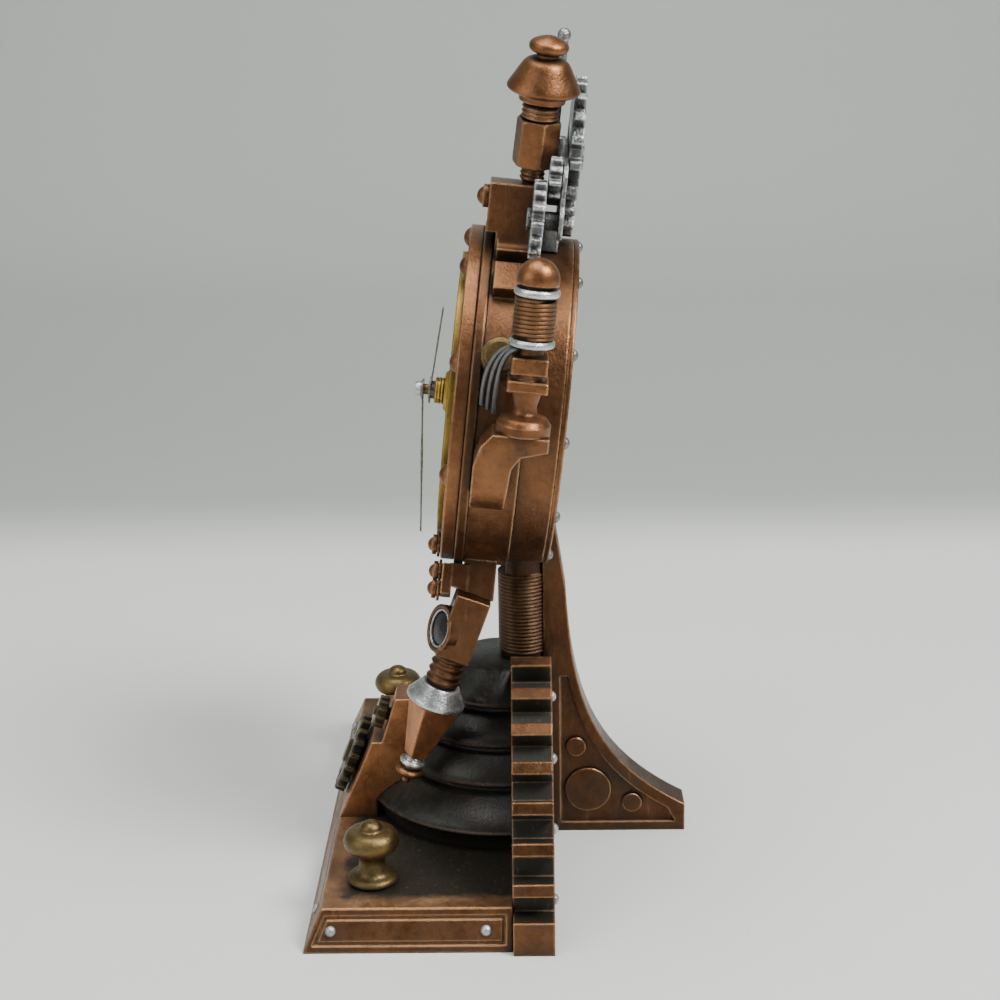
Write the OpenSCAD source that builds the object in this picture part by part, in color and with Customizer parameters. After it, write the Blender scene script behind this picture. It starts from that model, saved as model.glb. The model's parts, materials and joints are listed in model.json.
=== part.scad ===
// Desk clock on a stepped stand: tilted round case, quartz movement, ornamental gears,
// a turned finial, a wound side post and a strut with a nozzle.
// Origin: centre of the footprint on the table. The dial faces -Y, +Z is up.

/* [Base] */
// Width of the base slab at the table
base_w = 153; // [140:1:170]
// Depth of the base slab, front edge to the half gear
base_d = 58.3; // [56:0.1:64]
// Height of the base slab
base_h = 12; // [10:0.5:15]
// How far the front face slopes in
base_front_slope = 5.3; // [3:0.1:6]
// How far each side face slopes in
base_side_slope = 3.5; // [2:0.1:5]
// Width of the engraved panel lines
groove_w = 0.8; // [0.5:0.1:1.2]
// Depth of the engraved panel lines
groove_depth = 0.6; // [0.3:0.1:1]
// Diameter of the small domed rivets
rivet_d = 3.2; // [2.4:0.1:3.8]

/* [Half gear] */
// Tip radius of the half gear
gear_r = 78.4; // [76:0.1:84]
// Thickness of the half gear
gear_t = 11.7; // [10:0.1:14]
// Height of its teeth
gear_tooth_h = 6.2; // [4:0.1:7]
// Teeth of the full circle that it is cut from
gear_teeth = 44; // [40:1:48]
// Teeth left on each side
gear_side_teeth = 8; // [6:1:8]
// Width of the cut-out at the top
gear_notch_w = 60; // [50:1:62]

/* [Dome] */
// Radius of the lowest disc
disc_lower_r = 41.8; // [39:0.1:42]
// Radius of the middle disc
disc_middle_r = 33; // [31:0.1:34]
// Radius of the upper disc
disc_upper_r = 28.5; // [26:0.1:30]
// Radius of the cap
cap_r = 21; // [18:0.1:23]
// Radius of the flat top of the cap
cap_top_r = 13; // [11:0.1:14]
// Height of the lowest disc
disc_lower_h = 14; // [12:0.5:16]
// Height of the middle disc
disc_middle_h = 10.5; // [8:0.5:12]
// Height of the upper disc
disc_upper_h = 9.5; // [8:0.5:12]
// Height of the cap
cap_h = 12; // [10:0.5:14]
// How far the axis of the discs lies in front of the half gear
dome_set = 3.5; // [2:0.1:5]

/* [Column] */
// Radius of the ribbed post over its ribs
column_r = 7.6; // [6.5:0.1:8.5]
// Height of the post above the dome, at its axis
column_h = 32.5; // [28:0.5:40]
// Number of ribs on the post
column_ribs = 22; // [14:1:26]
// Depth of the ribs
rib_depth = 0.55; // [0.3:0.05:0.8]
// How far the post axis lies behind the front of the half gear
column_set = 3.6; // [3.4:0.1:4.4]
// Diameter of the tie bolt
bolt_d = 4; // [3:0.1:4.4]

/* [Rear leg] */
// How far the leg reaches behind the half gear
leg_reach = 41.5; // [36:0.5:46]
// Thickness of the leg
leg_t = 10; // [8:0.5:13]
// Height of its foot at the rear end
leg_foot_h = 8.8; // [8:0.1:11]
// Height over which the flare of the foot falls to a third
leg_fall = 19.8; // [17:0.1:22]
// Width of the raised border
leg_border = 3; // [2:0.1:4]
// Depth of the recessed panel
leg_panel_depth = 1.2; // [0.6:0.1:1.8]
// Radius of the big stud in the leg
stud_r = 7.2; // [5:0.1:7.6]
// Radius of the small studs in the leg
small_stud_r = 3.1; // [2:0.1:3.4]

/* [Knobs] */
// Distance of the knobs from the ends of the base
knob_in = 19.5; // [14.5:0.5:24.5]
// Distance of the knobs from the front edge
knob_back = 18.5; // [16:0.5:24]
// Diameter of the knob's round disc
knob_d = 15.8; // [12:0.1:18]
// Height of a knob
knob_h = 18.6; // [15:0.1:22]

/* [Console] */
// Width of the sloped console
console_w = 36; // [30:1:38]
// Height of the console
console_h = 38.5; // [36:0.5:44]
// Depth of the lower slope, along the base
slope_run = 10.6; // [9:0.1:11]
// Height of the lower slope
slope_rise = 24.5; // [23:0.1:26]
// Radius of the lower gear on the console
console_gear_r = 12.5; // [10:0.1:13]
// Radius of the upper gear on the console
console_small_r = 5; // [4:0.1:5.4]

/* [Case] */
// Angle at which the case leans back
tilt = 6.4; // [3:0.1:9]
// Inner radius of the case
case_inner_r = 44; // [43:0.1:45]
// Wall of the rear drum
drum_wall = 3.5; // [3:0.1:4.4]
// Wall of the front frame
frame_wall = 5.4; // [4.8:0.1:6]
// Height of the square teeth over the frame
frame_tooth_h = 4; // [2.2:0.1:4.6]
// Width of the bezel over the hollow of the case
bezel_wall = 5; // [4:0.1:6]
// Wall of the seam ring
seam_wall = 6.3; // [5.7:0.1:7]
// Distance of the edge of the dial from the hollow of the case
dial_set = 3; // [2.6:0.1:3.6]
// Thickness of the dial
dial_t = 2.4; // [1.8:0.1:3]
// Thickness of the bezel
bezel_t = 4; // [3.4:0.1:4.6]
// Thickness of the seam ring
seam_t = 2.7; // [2:0.1:3.2]
// Depth of the front frame
frame_t = 12.8; // [11:0.1:15]
// Depth of the rear drum
drum_t = 10; // [9.5:0.1:13]
// Thickness of the rear cover
cover_t = 1.6; // [1.2:0.1:2.4]
// Radius of the opening in the rear cover
cover_opening_r = 34; // [31:0.1:38]
// Number of domed rivets on the rear cover
cover_rivet_count = 12; // [8:1:16]

/* [Finial] */
// Distance of the top lug from the middle
lug_x = 14; // [13:0.1:14]
// Width of the top lug
lug_w = 13; // [11:0.1:13]
// Height of the top lug above the front frame
lug_h = 15; // [13.6:0.1:16.6]
// Diameter of the bell
bell_d = 20; // [16:0.1:20.4]
// Diameter of the ball on the bell
ball_d = 10.8; // [8:0.1:11]
// Size of the hexagon nut over its corners
nut_d = 12.6; // [11:0.1:12.8]
// Diameter of the threaded rod
rod_d = 7; // [6:0.1:7.6]

/* [Top gears] */
// Tip radius of the large silver gear
train_large_r = 22.4; // [18:0.1:23]
// Tip radius of the middle silver gear
train_middle_r = 6.5; // [5.6:0.1:6.6]
// Tip radius of the small silver gear
train_small_r = 10.6; // [8:0.1:10.6]
// Diameter of the pins that carry the silver gears
arbor_d = 4; // [3:0.1:5]

/* [Side post] */
// Distance of the side post axis from the front frame
post_gap = 11.6; // [11.2:0.1:14]
// Diameter of the wire of the winding
wire_d = 0.84; // [0.6:0.02:0.86]
// Turns of the winding
wire_turns = 6; // [4:1:7]
// Distance between turns of the winding
wire_pitch = 1.28; // [1.27:0.01:1.36]
// Radius of the winding's core
core_r = 4; // [3.4:0.1:4.4]
// Diameter of the grey leads
lead_d = 1.3; // [0.8:0.1:1.4]
// Radius of the brass boss
boss_r = 5; // [4:0.1:5.4]

/* [Strut] */
// Angle at which the strut leans forward
strut_lean = 20.2; // [17:0.1:22]
// Length of the strut arm
arm_l = 19.5; // [17:0.5:21]
// Width of the strut arm, front to rear
arm_w = 10; // [8:0.1:11]
// Radius of the nozzle's collar
collar_r = 8.7; // [7:0.1:9]
// Length of the nozzle's square body
body_l = 18.4; // [14:0.1:20]

/* [Movement] */
// Side of the square movement
movement_w = 56; // [54:0.5:57]
// Depth of the movement
movement_t = 17.4; // [17.3:0.1:19]
// Wall of the movement's case
movement_wall = 1.5; // [1:0.1:1.8]
// Outer diameter of the threaded bushing
bushing_d = 8; // [7.6:0.1:9]
// Length of the bushing in front of the dial
bushing_l = 4.5; // [4:0.1:6]
// Length of the hour hand from its axis
hour_l = 27.5; // [22:0.5:32]
// Length of the minute hand from its axis
minute_l = 44; // [36:0.5:46]
// Angle of the hour hand from twelve, clockwise
hour_angle = 15; // [0:1:359]
// Angle of the minute hand from twelve, clockwise
minute_angle = 180; // [0:1:359]

/* [Clearances] */
// Radial clearance of a shaft that turns in a bore
run_fit = 0.1; // [0.05:0.01:0.12]
// Radial clearance of a fixed pin in its hole
pin_fit = 0.05; // [0.03:0.01:0.1]
// Gap at a seat between curved faces
seat = 0.15; // [0.1:0.01:0.3]

/* [Hidden] */
$fn = 64;

// Overlap used only to make cuts pass right through
cut = 1;

// Stations along Y, front to rear
front_y = -(base_d + gear_t + leg_reach) / 2;
gear_y = front_y + base_d;
gear_rear_y = gear_y + gear_t;
leg_end_y = gear_rear_y + leg_reach;
dome_y = gear_y - dome_set;
column_y = gear_y + column_set;
knob_x = base_w / 2 - knob_in;
knob_y = front_y + knob_back;

// Heights of the stacked discs
middle_z = base_h + disc_lower_h;
upper_z = middle_z + disc_middle_h;
cap_z = upper_z + disc_upper_h;
dome_top = cap_z + cap_h;
column_top = dome_top + column_h;

// Depths inside the case, measured rearwards from the dial plane
dial_front = -dial_t / 2;
bezel_front = 0.5;
seam_front = bezel_front + bezel_t;
frame_front = seam_front + seam_t;
drum_front = frame_front + frame_t;
cover_front = drum_front + drum_t;
case_rear = cover_front + cover_t;
dial_rear = dial_front + dial_t;

// Radii of the case, and what stands on it
drum_r = case_inner_r + drum_wall;
frame_r = case_inner_r + frame_wall;
frame_tip_r = frame_r + frame_tooth_h;
bezel_r = case_inner_r + bezel_wall;
seam_r = case_inner_r + seam_wall;
dial_r = case_inner_r - dial_set;
lug_top = frame_r + lug_h;
post_x = frame_r + post_gap;

// The case rests on the post near the middle of its drum
rest_depth = drum_front + drum_t * 0.48;
case_y = column_y - rest_depth * cos(tilt) + drum_r * sin(tilt);
case_z = column_top + rest_depth * sin(tilt) + drum_r * cos(tilt);

// World place of a point of the case, from its height above the axis and its depth
function case_point(up, depth) = [
    case_y + depth * cos(tilt) + up * sin(tilt),
    case_z - depth * sin(tilt) + up * cos(tilt)
];

// Radial place in the dial plane
function polar(r, angle) = [r * cos(angle), r * sin(angle)];

module in_case() {
    translate([0, case_y, case_z]) rotate([90 - tilt, 0, 0]) children();
}

// Round plate or ring of the case between two depths
module case_disc(r, from, to) {
    translate([0, 0, -to]) cylinder(r = r, h = to - from);
}

module case_ring(r, inner, from, to) {
    difference() {
        case_disc(r, from, to);
        case_disc(inner, from - cut, to + cut);
    }
}

// Block of the case: sides in the dial plane, then depths
module case_block(x0, x1, y0, y1, from, to) {
    translate([x0, y0, -to]) cube([x1 - x0, y1 - y0, to - from]);
}

// Domed rivet on a face at z = 0, with a shank below it
module rivet(d, shank_d, shank_l) {
    intersection() {
        translate([0, 0, -d * 0.15]) sphere(d = d * 1.06);
        cylinder(d = d, h = d);
    }
    translate([0, 0, -shank_l]) cylinder(d = shank_d, h = shank_l + d * 0.1);
}

// Teeth stand back this much from the faces of their wheel
tooth_step = 0.05;

// Spur gear lying on z = 0
module spur_gear(tip_r, tooth_h, teeth, thick, bore_r) {
    root_r = tip_r - tooth_h;
    pitch_w = 2 * PI * root_r / teeth;
    difference() {
        union() {
            cylinder(r = root_r, h = thick);
            for (i = [0:teeth - 1])
                rotate([0, 0, i * 360 / teeth]) translate([0, 0, tooth_step])
                    linear_extrude(thick - 2 * tooth_step)
                        polygon([
                            [root_r - cut, -pitch_w * 0.3],
                            [tip_r, -pitch_w * 0.2],
                            [tip_r, pitch_w * 0.2],
                            [root_r - cut, pitch_w * 0.3]
                        ]);
        }
        translate([0, 0, -cut]) cylinder(r = bore_r, h = thick + 2 * cut);
    }
}

// Base
rivet_shank_d = 1.6;
rivet_shank_l = 3;
side_angle = atan(base_side_slope / base_h);
front_angle = atan(base_front_slope / base_h);
panel_margin = 3;
side_margin = 2;
front_panel_l = base_w - 2 * base_side_slope - 4 * panel_margin;
panel_h = base_h - 4;
side_panel_y = front_y + base_front_slope / 2 + (base_d - base_front_slope / 2) / 2;
stud_hole_r = 2;
stud_l = 6;

// Places the XY plane on the sloped side or front of the base, X along the edge, Z outwards
module on_base_side(side) {
    translate([side * (base_w - base_side_slope) / 2, side_panel_y, base_h / 2])
        rotate([0, 0, side * 90]) rotate([90 - side_angle, 0, 0]) children();
}

module on_base_front() {
    translate([0, front_y + base_front_slope / 2, base_h / 2])
        rotate([90 - front_angle, 0, 0]) children();
}

module panel_groove(l) {
    difference() {
        cube([l, panel_h, 2 * groove_depth], center = true);
        cube([l - 2 * groove_w, panel_h - 2 * groove_w, 4], center = true);
    }
}

module panel_ends(l) {
    for (end = [-1, 1])
        translate([end * (l / 2 - panel_h * 0.6), 0, 0]) children();
}

// Side panel: its front end follows the sloped front edge of the base
function side_panel(inset) =
    let (
        half = panel_h / 2 - inset,
        lean = half * base_front_slope / base_h,
        front = front_y + base_front_slope / 2 + side_margin + inset - side_panel_y,
        rear = gear_y - side_margin - inset - side_panel_y
    )
    [[front - lean, -half], [rear, -half], [rear, half], [front + lean, half]];

module side_groove(side) {
    mirror([side < 0 ? 1 : 0, 0, 0])
        linear_extrude(2 * groove_depth, center = true)
            difference() {
                polygon(side_panel(0));
                polygon(side_panel(groove_w));
            }
}

// Rivets of a side panel, one near each end
module side_rivet_places(side) {
    for (y = [front_y + base_front_slope / 2 + side_margin + 3.2, gear_y - side_margin - 5.4])
        translate([side * (y - side_panel_y), 0, 0]) children();
}

module knob_places() {
    for (side = [-1, 1])
        translate([side * knob_x, knob_y, base_h]) children();
}

module base_plate() {
    color("#6b4630")
    difference() {
        intersection() {
            rotate([90, 0, 90])
                linear_extrude(base_w, center = true)
                    polygon([
                        [front_y, 0],
                        [gear_y, 0],
                        [gear_y, base_h],
                        [front_y + base_front_slope, base_h]
                    ]);
            translate([0, gear_y + cut, 0])
                rotate([90, 0, 0])
                    linear_extrude(base_d + 2 * cut)
                        polygon([
                            [-base_w / 2, 0],
                            [base_w / 2, 0],
                            [base_w / 2 - base_side_slope, base_h],
                            [-base_w / 2 + base_side_slope, base_h]
                        ]);
        }
        for (side = [-1, 1])
            on_base_side(side) {
                side_groove(side);
                side_rivet_places(side)
                    translate([0, 0, -rivet_shank_l - seat])
                        cylinder(d = rivet_shank_d + 2 * pin_fit, h = rivet_shank_l + 2 * cut);
            }
        on_base_front() {
            panel_groove(front_panel_l);
            panel_ends(front_panel_l)
                translate([0, 0, -rivet_shank_l - seat])
                    cylinder(d = rivet_shank_d + 2 * pin_fit, h = rivet_shank_l + 2 * cut);
        }
        knob_places()
            translate([0, 0, -stud_l - seat]) cylinder(r = stud_hole_r + pin_fit, h = stud_l + cut);
    }
}

module base_rivets() {
    color("silver") {
        for (side = [-1, 1])
            on_base_side(side)
                side_rivet_places(side) rivet(rivet_d, rivet_shank_d, rivet_shank_l);
        on_base_front()
            panel_ends(front_panel_l) rivet(rivet_d, rivet_shank_d, rivet_shank_l);
    }
}

// Half gear
gear_root_r = gear_r - gear_tooth_h;
gear_pitch = 360 / gear_teeth;
first_tooth = 5.6;
tooth_half = gear_root_r * gear_pitch * PI / 720;
foot_h = gear_r * sin(first_tooth) + tooth_half * 0.9;
bolt_head_d = bolt_d + 1.8;
bolt_head_h = 3.6;
bolt_recess = 0.4;
rivet_ring_r = gear_root_r - 3.5;
rivet_angles = [for (i = [0:3]) first_tooth + gear_pitch * (0.5 + 2 * i)];

module upright() {
    translate([0, gear_rear_y, 0]) rotate([90, 0, 0]) children();
}

module gear_rivet_places() {
    for (side = [0, 1], angle = rivet_angles)
        mirror([side, 0, 0])
            translate([rivet_ring_r * cos(angle), gear_rear_y, rivet_ring_r * sin(angle)])
                rotate([-90, 0, 0]) children();
}

module gear_tooth() {
    translate([0, 0, tooth_step])
        linear_extrude(gear_t - 2 * tooth_step)
            polygon([
                [gear_root_r - 2 * cut, -tooth_half * 1.05],
                [gear_r, -tooth_half * 0.68],
                [gear_r, tooth_half * 0.68],
                [gear_root_r - 2 * cut, tooth_half * 1.05]
            ]);
}

// Toothed disc with a square foot on each side, before it is cut off at the table
module gear_blank() {
    cylinder(r = gear_root_r, h = gear_t);
    for (side = [0, 1], i = [0:gear_side_teeth - 1])
        mirror([side, 0, 0]) rotate([0, 0, first_tooth + i * gear_pitch]) gear_tooth();
    for (side = [0, 1])
        mirror([side, 0, 0])
            translate([gear_r - 2 * gear_tooth_h, -cut, 2 * tooth_step])
                cube([2 * gear_tooth_h, foot_h + cut, gear_t - 4 * tooth_step]);
}

module half_gear() {
    color("#7a4a2c")
    difference() {
        upright() gear_blank();
        translate([-2 * gear_r, gear_y - cut, -2 * gear_r]) cube([4 * gear_r, gear_t + 2 * cut, 2 * gear_r]);
        translate([-gear_notch_w / 2, gear_y - cut, dome_top])
            cube([gear_notch_w, gear_t + 2 * cut, gear_r]);
        translate([0, column_y, -cut]) cylinder(d = bolt_d + 2 * pin_fit, h = gear_r);
        translate([0, column_y, -cut])
            cylinder(d = bolt_head_d + 4 * pin_fit, h = bolt_head_h + bolt_recess + cut);
        gear_rivet_places()
            translate([0, 0, -rivet_shank_l - seat])
                cylinder(d = rivet_shank_d + 2 * pin_fit, h = rivet_shank_l + 2 * cut);
    }
}

module gear_rivets() {
    color("silver") gear_rivet_places() rivet(rivet_d, rivet_shank_d, rivet_shank_l);
}

// Dome: each disc flares down to its rim and is undercut below it
under_w = 2.6;
under_h = 1.3;
rim_h = 3.2;
lower_rim_h = 5.8;

function flare(r, top_r, h, rim) = concat(
    [[0, 0], [r - under_w, 0], [r - under_w, under_h], [r - 0.5, rim - 0.5], [r, rim]],
    [for (i = [1:6]) let (f = i / 6) [
        r - 0.6 - (r - 0.6 - top_r) * pow(f, 1.5),
        rim + 0.2 + (h - rim - 0.2) * f
    ]],
    [[0, h]]
);

// Room that a piece beside a disc leaves for it
module disc_room(z, r, top_r, h, rim) {
    translate([0, dome_y, z])
        rotate_extrude()
            polygon(concat(
                [[0, -cut], [r + seat, -cut], [r + seat, rim]],
                [for (point = flare(r, top_r, h, rim))
                    if (point[1] > rim && point[0] > 0) point + [2 * seat, seat]],
                [[0, h + seat]]
            ));
}

module dome_disc(z, r, top_r, h, rim) {
    difference() {
        translate([0, dome_y, z]) rotate_extrude() polygon(flare(r, top_r, h, rim));
        translate([-r - cut, gear_y, z - cut]) cube([2 * (r + cut), r + dome_set, h + 2 * cut]);
    }
}

module dome_disc_lower() {
    color("#2b2f2b") dome_disc(base_h, disc_lower_r, disc_middle_r - 1, disc_lower_h, lower_rim_h);
}

module dome_disc_middle() {
    color("#2b2f2b") dome_disc(middle_z, disc_middle_r, disc_upper_r - 1, disc_middle_h, rim_h);
}

module dome_disc_upper() {
    color("#2b2f2b") dome_disc(upper_z, disc_upper_r, cap_r - 1, disc_upper_h, rim_h);
}

module dome_cap() {
    color("#2b2f2b")
    difference() {
        dome_disc(cap_z, cap_r, cap_top_r, cap_h, rim_h);
        translate([0, column_y, cap_z - cut]) cylinder(d = bolt_d + 2 * pin_fit, h = cap_h + 2 * cut);
    }
}

// Column: ribs between a plain foot and a plain head that fits the drum
plain_head = 5;
plain_foot = 2;
rib_step = (column_h - plain_head - plain_foot) / column_ribs;

module column() {
    ribs = [for (i = [0:column_ribs - 1]) each [
        [column_r - rib_depth, dome_top + plain_foot + i * rib_step],
        [column_r, dome_top + plain_foot + (i + 0.35) * rib_step],
        [column_r, dome_top + plain_foot + (i + 0.65) * rib_step]
    ]];
    color("#5e3d29")
    difference() {
        translate([0, column_y, 0])
            rotate_extrude()
                polygon(concat(
                    [[0, dome_top], [column_r - rib_depth, dome_top]],
                    ribs,
                    [
                        [column_r - rib_depth, column_top - plain_head],
                        [column_r - rib_depth, column_top + plain_head],
                        [0, column_top + plain_head]
                    ]
                ));
        in_case() case_disc(drum_r + seat, frame_front, case_rear + cut);
        in_case() case_disc(frame_tip_r + seat, -drum_r, drum_front + seat);
        translate([0, column_y, dome_top - cut])
            cylinder(d = bolt_d + 2 * pin_fit, h = column_h + 2 * plain_head);
    }
}

bolt_engage = 7;

module tie_bolt() {
    color("#8f9296")
    translate([0, column_y, bolt_recess]) {
        cylinder(d = bolt_head_d, h = bolt_head_h);
        cylinder(d = bolt_d, h = column_top + bolt_engage - bolt_recess);
    }
}

// Rear leg: its hollow edge runs from the foot up to the back of the case
leg_top_up = -35;
leg_tip = 1.4;
leg_top = case_point(leg_top_up, case_rear) + [leg_tip, 0];
leg_upright = 3.8;
leg_flare = (leg_reach - leg_upright) * exp(leg_foot_h / leg_fall);
leg_bend_top = leg_top[1] - 22;
leg_steps = 20;
leg_panel_top = dome_top - 2 * leg_border;
leg_panel_low = leg_foot_h - leg_border * 0.4;

// Place of the hollow rear edge at a height
function leg_edge(z) = gear_rear_y + leg_upright + leg_flare * exp(-z / leg_fall);
studs = [
    [gear_rear_y + 11.4, 13.9, stud_r],
    [gear_rear_y + 7.7, 28.4, small_stud_r],
    [gear_rear_y + 25.1, 9.3, small_stud_r]
];
stud_proud = 0.9;

// Extrudes a shape drawn in Y and Z across the middle plane
module across(thick) {
    rotate([90, 0, 90]) linear_extrude(thick, center = true) children();
}

// Round bar across the middle plane
module cross_bar(place, r, l) {
    translate([-l / 2, place[0], place[1]]) rotate([0, 90, 0]) cylinder(r = r, h = l, $fn = 96);
}

module rear_leg() {
    color("#6e4530")
    difference() {
        across(leg_t)
            polygon([
                [gear_rear_y, 0],
                [leg_end_y, 0],
                for (i = [0:leg_steps])
                    let (z = leg_foot_h + (leg_bend_top - leg_foot_h) * pow(i / leg_steps, 1.5)) [leg_edge(z), z],
                leg_top,
                [column_y, leg_top[1]],
                [column_y, dome_top + seat],
                [gear_rear_y, dome_top + seat]
            ]);
        for (side = [-1, 1])
            translate([side * leg_t / 2, 0, 0])
                across(2 * leg_panel_depth)
                    polygon([
                        [gear_rear_y + leg_border, leg_border],
                        [leg_end_y - leg_border, leg_border],
                        for (i = [0:leg_steps])
                            let (z = leg_panel_low + (leg_panel_top - leg_panel_low) * i / leg_steps)
                            [min(leg_edge(z + leg_border) - leg_border * 0.7, leg_end_y - leg_border), z],
                        [gear_rear_y + leg_border, leg_panel_top]
                    ]);
        for (stud = studs)
            cross_bar([stud[0], stud[1]], stud[2] + pin_fit, leg_t + 2 * cut);
        translate([0, column_y, dome_top]) cylinder(r = column_r + seat, h = column_h + drum_r);
        in_case() case_disc(drum_r + seat, -drum_r, case_rear);
    }
}

module leg_studs() {
    color("#8a5636")
    for (stud = studs)
        cross_bar([stud[0], stud[1]], stud[2], leg_t - 2 * leg_panel_depth + 2 * stud_proud);
}

// Knobs: a turned foot, a waist, a round disc and a button, on a stud
module knob() {
    r = knob_d / 2;
    h = knob_h;
    rotate_extrude()
        polygon([
            [0, -stud_l],
            [stud_hole_r, -stud_l],
            [stud_hole_r, 0],
            [r * 0.86, 0],
            [r * 0.9, h * 0.05],
            [r * 0.86, h * 0.11],
            [r * 0.62, h * 0.17],
            [r * 0.48, h * 0.3],
            [r * 0.5, h * 0.42],
            [r * 0.66, h * 0.5],
            [r * 0.9, h * 0.58],
            [r, h * 0.68],
            [r * 0.94, h * 0.78],
            [r * 0.76, h * 0.85],
            [r * 0.4, h * 0.88],
            [r * 0.36, h * 0.94],
            [r * 0.2, h * 0.99],
            [0, h]
        ]);
}

module knob_left() {
    color("#8a7440") translate([-knob_x, knob_y, base_h]) knob();
}

module knob_right() {
    color("#8a7440") translate([knob_x, knob_y, base_h]) knob();
}

// Console: a full-width slope and a taller block on its right, cut to the discs behind it
console_front = front_y + base_front_slope;
ledge = 3;
slope_top = [console_front + slope_run, base_h + slope_rise];
upper_foot = slope_top + [ledge, 0];
upper_run = 4.4;
console_back = 8.4;
upper_top = [upper_foot[0] + upper_run, base_h + console_h];
console_rear = upper_top[0] + console_back;
block_w = 11.4;
block_x = console_w / 2 - block_w / 2;
lower_mid = ([console_front, base_h] + slope_top) / 2;
upper_mid = (upper_foot + upper_top) / 2;
lower_angle = atan2(slope_rise, slope_run);
upper_angle = atan2(upper_top[1] - upper_foot[1], upper_top[0] - upper_foot[0]);
console_pin_r = 1.6;
console_pin_l = 4;
console_gear_t = 3;
console_gap = 1;

// Places the XY plane on a slope, Y up the slope and Z outwards
module on_slope(x, place, angle) {
    translate([x, place[0], place[1]]) rotate([angle, 0, 0]) children();
}

module console() {
    color("#8a5232")
    difference() {
        union() {
            across(console_w)
                polygon([
                    [console_front, base_h],
                    slope_top,
                    [console_rear, slope_top[1]],
                    [console_rear, base_h]
                ]);
            translate([block_x, 0, 0])
                across(block_w - 0.1)
                    polygon([
                        upper_foot - [0, cut],
                        upper_foot,
                        upper_top,
                        [console_rear - 0.1, upper_top[1]],
                        [console_rear - 0.1, upper_foot[1] - cut]
                    ]);
        }
        disc_room(base_h, disc_lower_r, disc_middle_r - 1, disc_lower_h, lower_rim_h);
        disc_room(middle_z, disc_middle_r, disc_upper_r - 1, disc_middle_h, rim_h);
        disc_room(upper_z, disc_upper_r, cap_r - 1, disc_upper_h, rim_h);
        disc_room(cap_z, cap_r, cap_top_r, cap_h, rim_h);
        on_slope(0, lower_mid, lower_angle)
            translate([0, 0, -console_pin_l]) cylinder(r = console_pin_r + pin_fit, h = console_pin_l + cut);
        on_slope(block_x, upper_mid, upper_angle)
            translate([0, 0, -console_pin_l]) cylinder(r = console_pin_r + pin_fit, h = console_pin_l + cut);
    }
}

// Gear on a turned pin whose shoulder stands on the slope
module pinned_gear(r, teeth) {
    mid = console_gap + console_gear_t / 2;
    top = console_gap + console_gear_t + 1;
    difference() {
        translate([0, 0, console_gap]) spur_gear(r, r * 0.2, teeth, console_gear_t, r * 0.2);
        for (i = [0:4])
            rotate([0, 0, i * 72]) translate([r * 0.6, 0, 0]) cylinder(r = r * 0.13, h = 2 * console_gear_t);
    }
    rotate_extrude()
        polygon([
            [0, -console_pin_l + seat],
            [console_pin_r, -console_pin_l + seat],
            [console_pin_r, 0],
            [r * 0.4, 0],
            [r * 0.4, mid],
            [r * 0.3, mid],
            [r * 0.3, top - 0.4],
            [r * 0.26, top],
            [0, top]
        ]);
}

module console_gear_large() {
    color("#44423a") on_slope(0, lower_mid, lower_angle) pinned_gear(console_gear_r, 18);
}

module console_gear_small() {
    color("#44423a") on_slope(block_x, upper_mid, upper_angle) pinned_gear(console_small_r, 12);
}

// Case
seat_lip = 1;
cover_rivet_d = 3.4;
cover_rivet_r = (drum_r + case_inner_r) / 2;
boss_clear_r = 5;
foot_angle = -64;
foot_w = 9;
pad_out = 9.7;
pad_r = seam_r + pad_out;
pad_front = bezel_front + 1;
pad_rear = pad_front + 3;
foot_rear = drum_front - 3;
rosette_d = 5.8;
rosette_shank_d = 2.4;
rosette_shank_l = 3;
rosette_radii = [seam_r + 2.8, seam_r + 7.8];
bezel_rosette_r = (bezel_r + dial_r) / 2 + 0.4;
frame_tooth_pitch = 15.3;
frame_tooth_first = 51.5;
frame_tooth_count = 5;
frame_tooth_w = 9.5;
lug_depth = [frame_front + 0.4, frame_front + frame_t - 0.8];
lug_over = 2.4;
lug_front = frame_front - lug_over;
lug_shank_l = 1.6;
lug_mid = (lug_depth[0] + lug_depth[1]) / 2;

// Rivets round the rear cover, none where the leg stands
module cover_rivet_places() {
    for (i = [0:cover_rivet_count - 1])
        if (abs(i * 360 / cover_rivet_count - 270) > 9)
            rotate([0, 0, i * 360 / cover_rivet_count])
                translate([cover_rivet_r, 0, -case_rear]) rotate([180, 0, 0]) children();
}

module cover_rivet_holes() {
    cover_rivet_places()
        translate([0, 0, -cover_t - rivet_shank_l - seat])
            cylinder(d = rivet_shank_d + 2 * pin_fit, h = cover_t + rivet_shank_l + 2 * cut);
}

module case_drum() {
    color("#8a5434")
    difference() {
        union() {
            in_case() case_ring(drum_r, case_inner_r, drum_front, cover_front);
            intersection() {
                translate([0, column_y, column_top - plain_head]) cylinder(r = boss_clear_r, h = 2 * plain_head + 4);
                in_case() case_disc(drum_r, drum_front, cover_front);
            }
        }
        translate([0, column_y, column_top - 2 * plain_head])
            cylinder(d = bolt_d + 2 * pin_fit, h = 2 * plain_head + bolt_engage + seat);
        in_case() cover_rivet_holes();
    }
}

// Places the XY plane across the strut at its top, Z down along the strut and Y to the front
strut_aside = 7.3;
strut_below = 7.1;
strut_back = 4.2;
strut_x = frame_r * cos(foot_angle) + strut_aside;
strut_place = case_point(frame_r * sin(foot_angle) - strut_below, frame_front + strut_back);

module on_strut() {
    translate([strut_x, strut_place[0], strut_place[1]]) rotate([180 - strut_lean, 0, 0]) children();
}

module rosette_places() {
    in_case()
        rotate([0, 0, foot_angle]) {
            translate([bezel_rosette_r, 0, -bezel_front]) children();
            for (r = rosette_radii)
                translate([r, 0, -pad_front]) children();
        }
}

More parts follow.
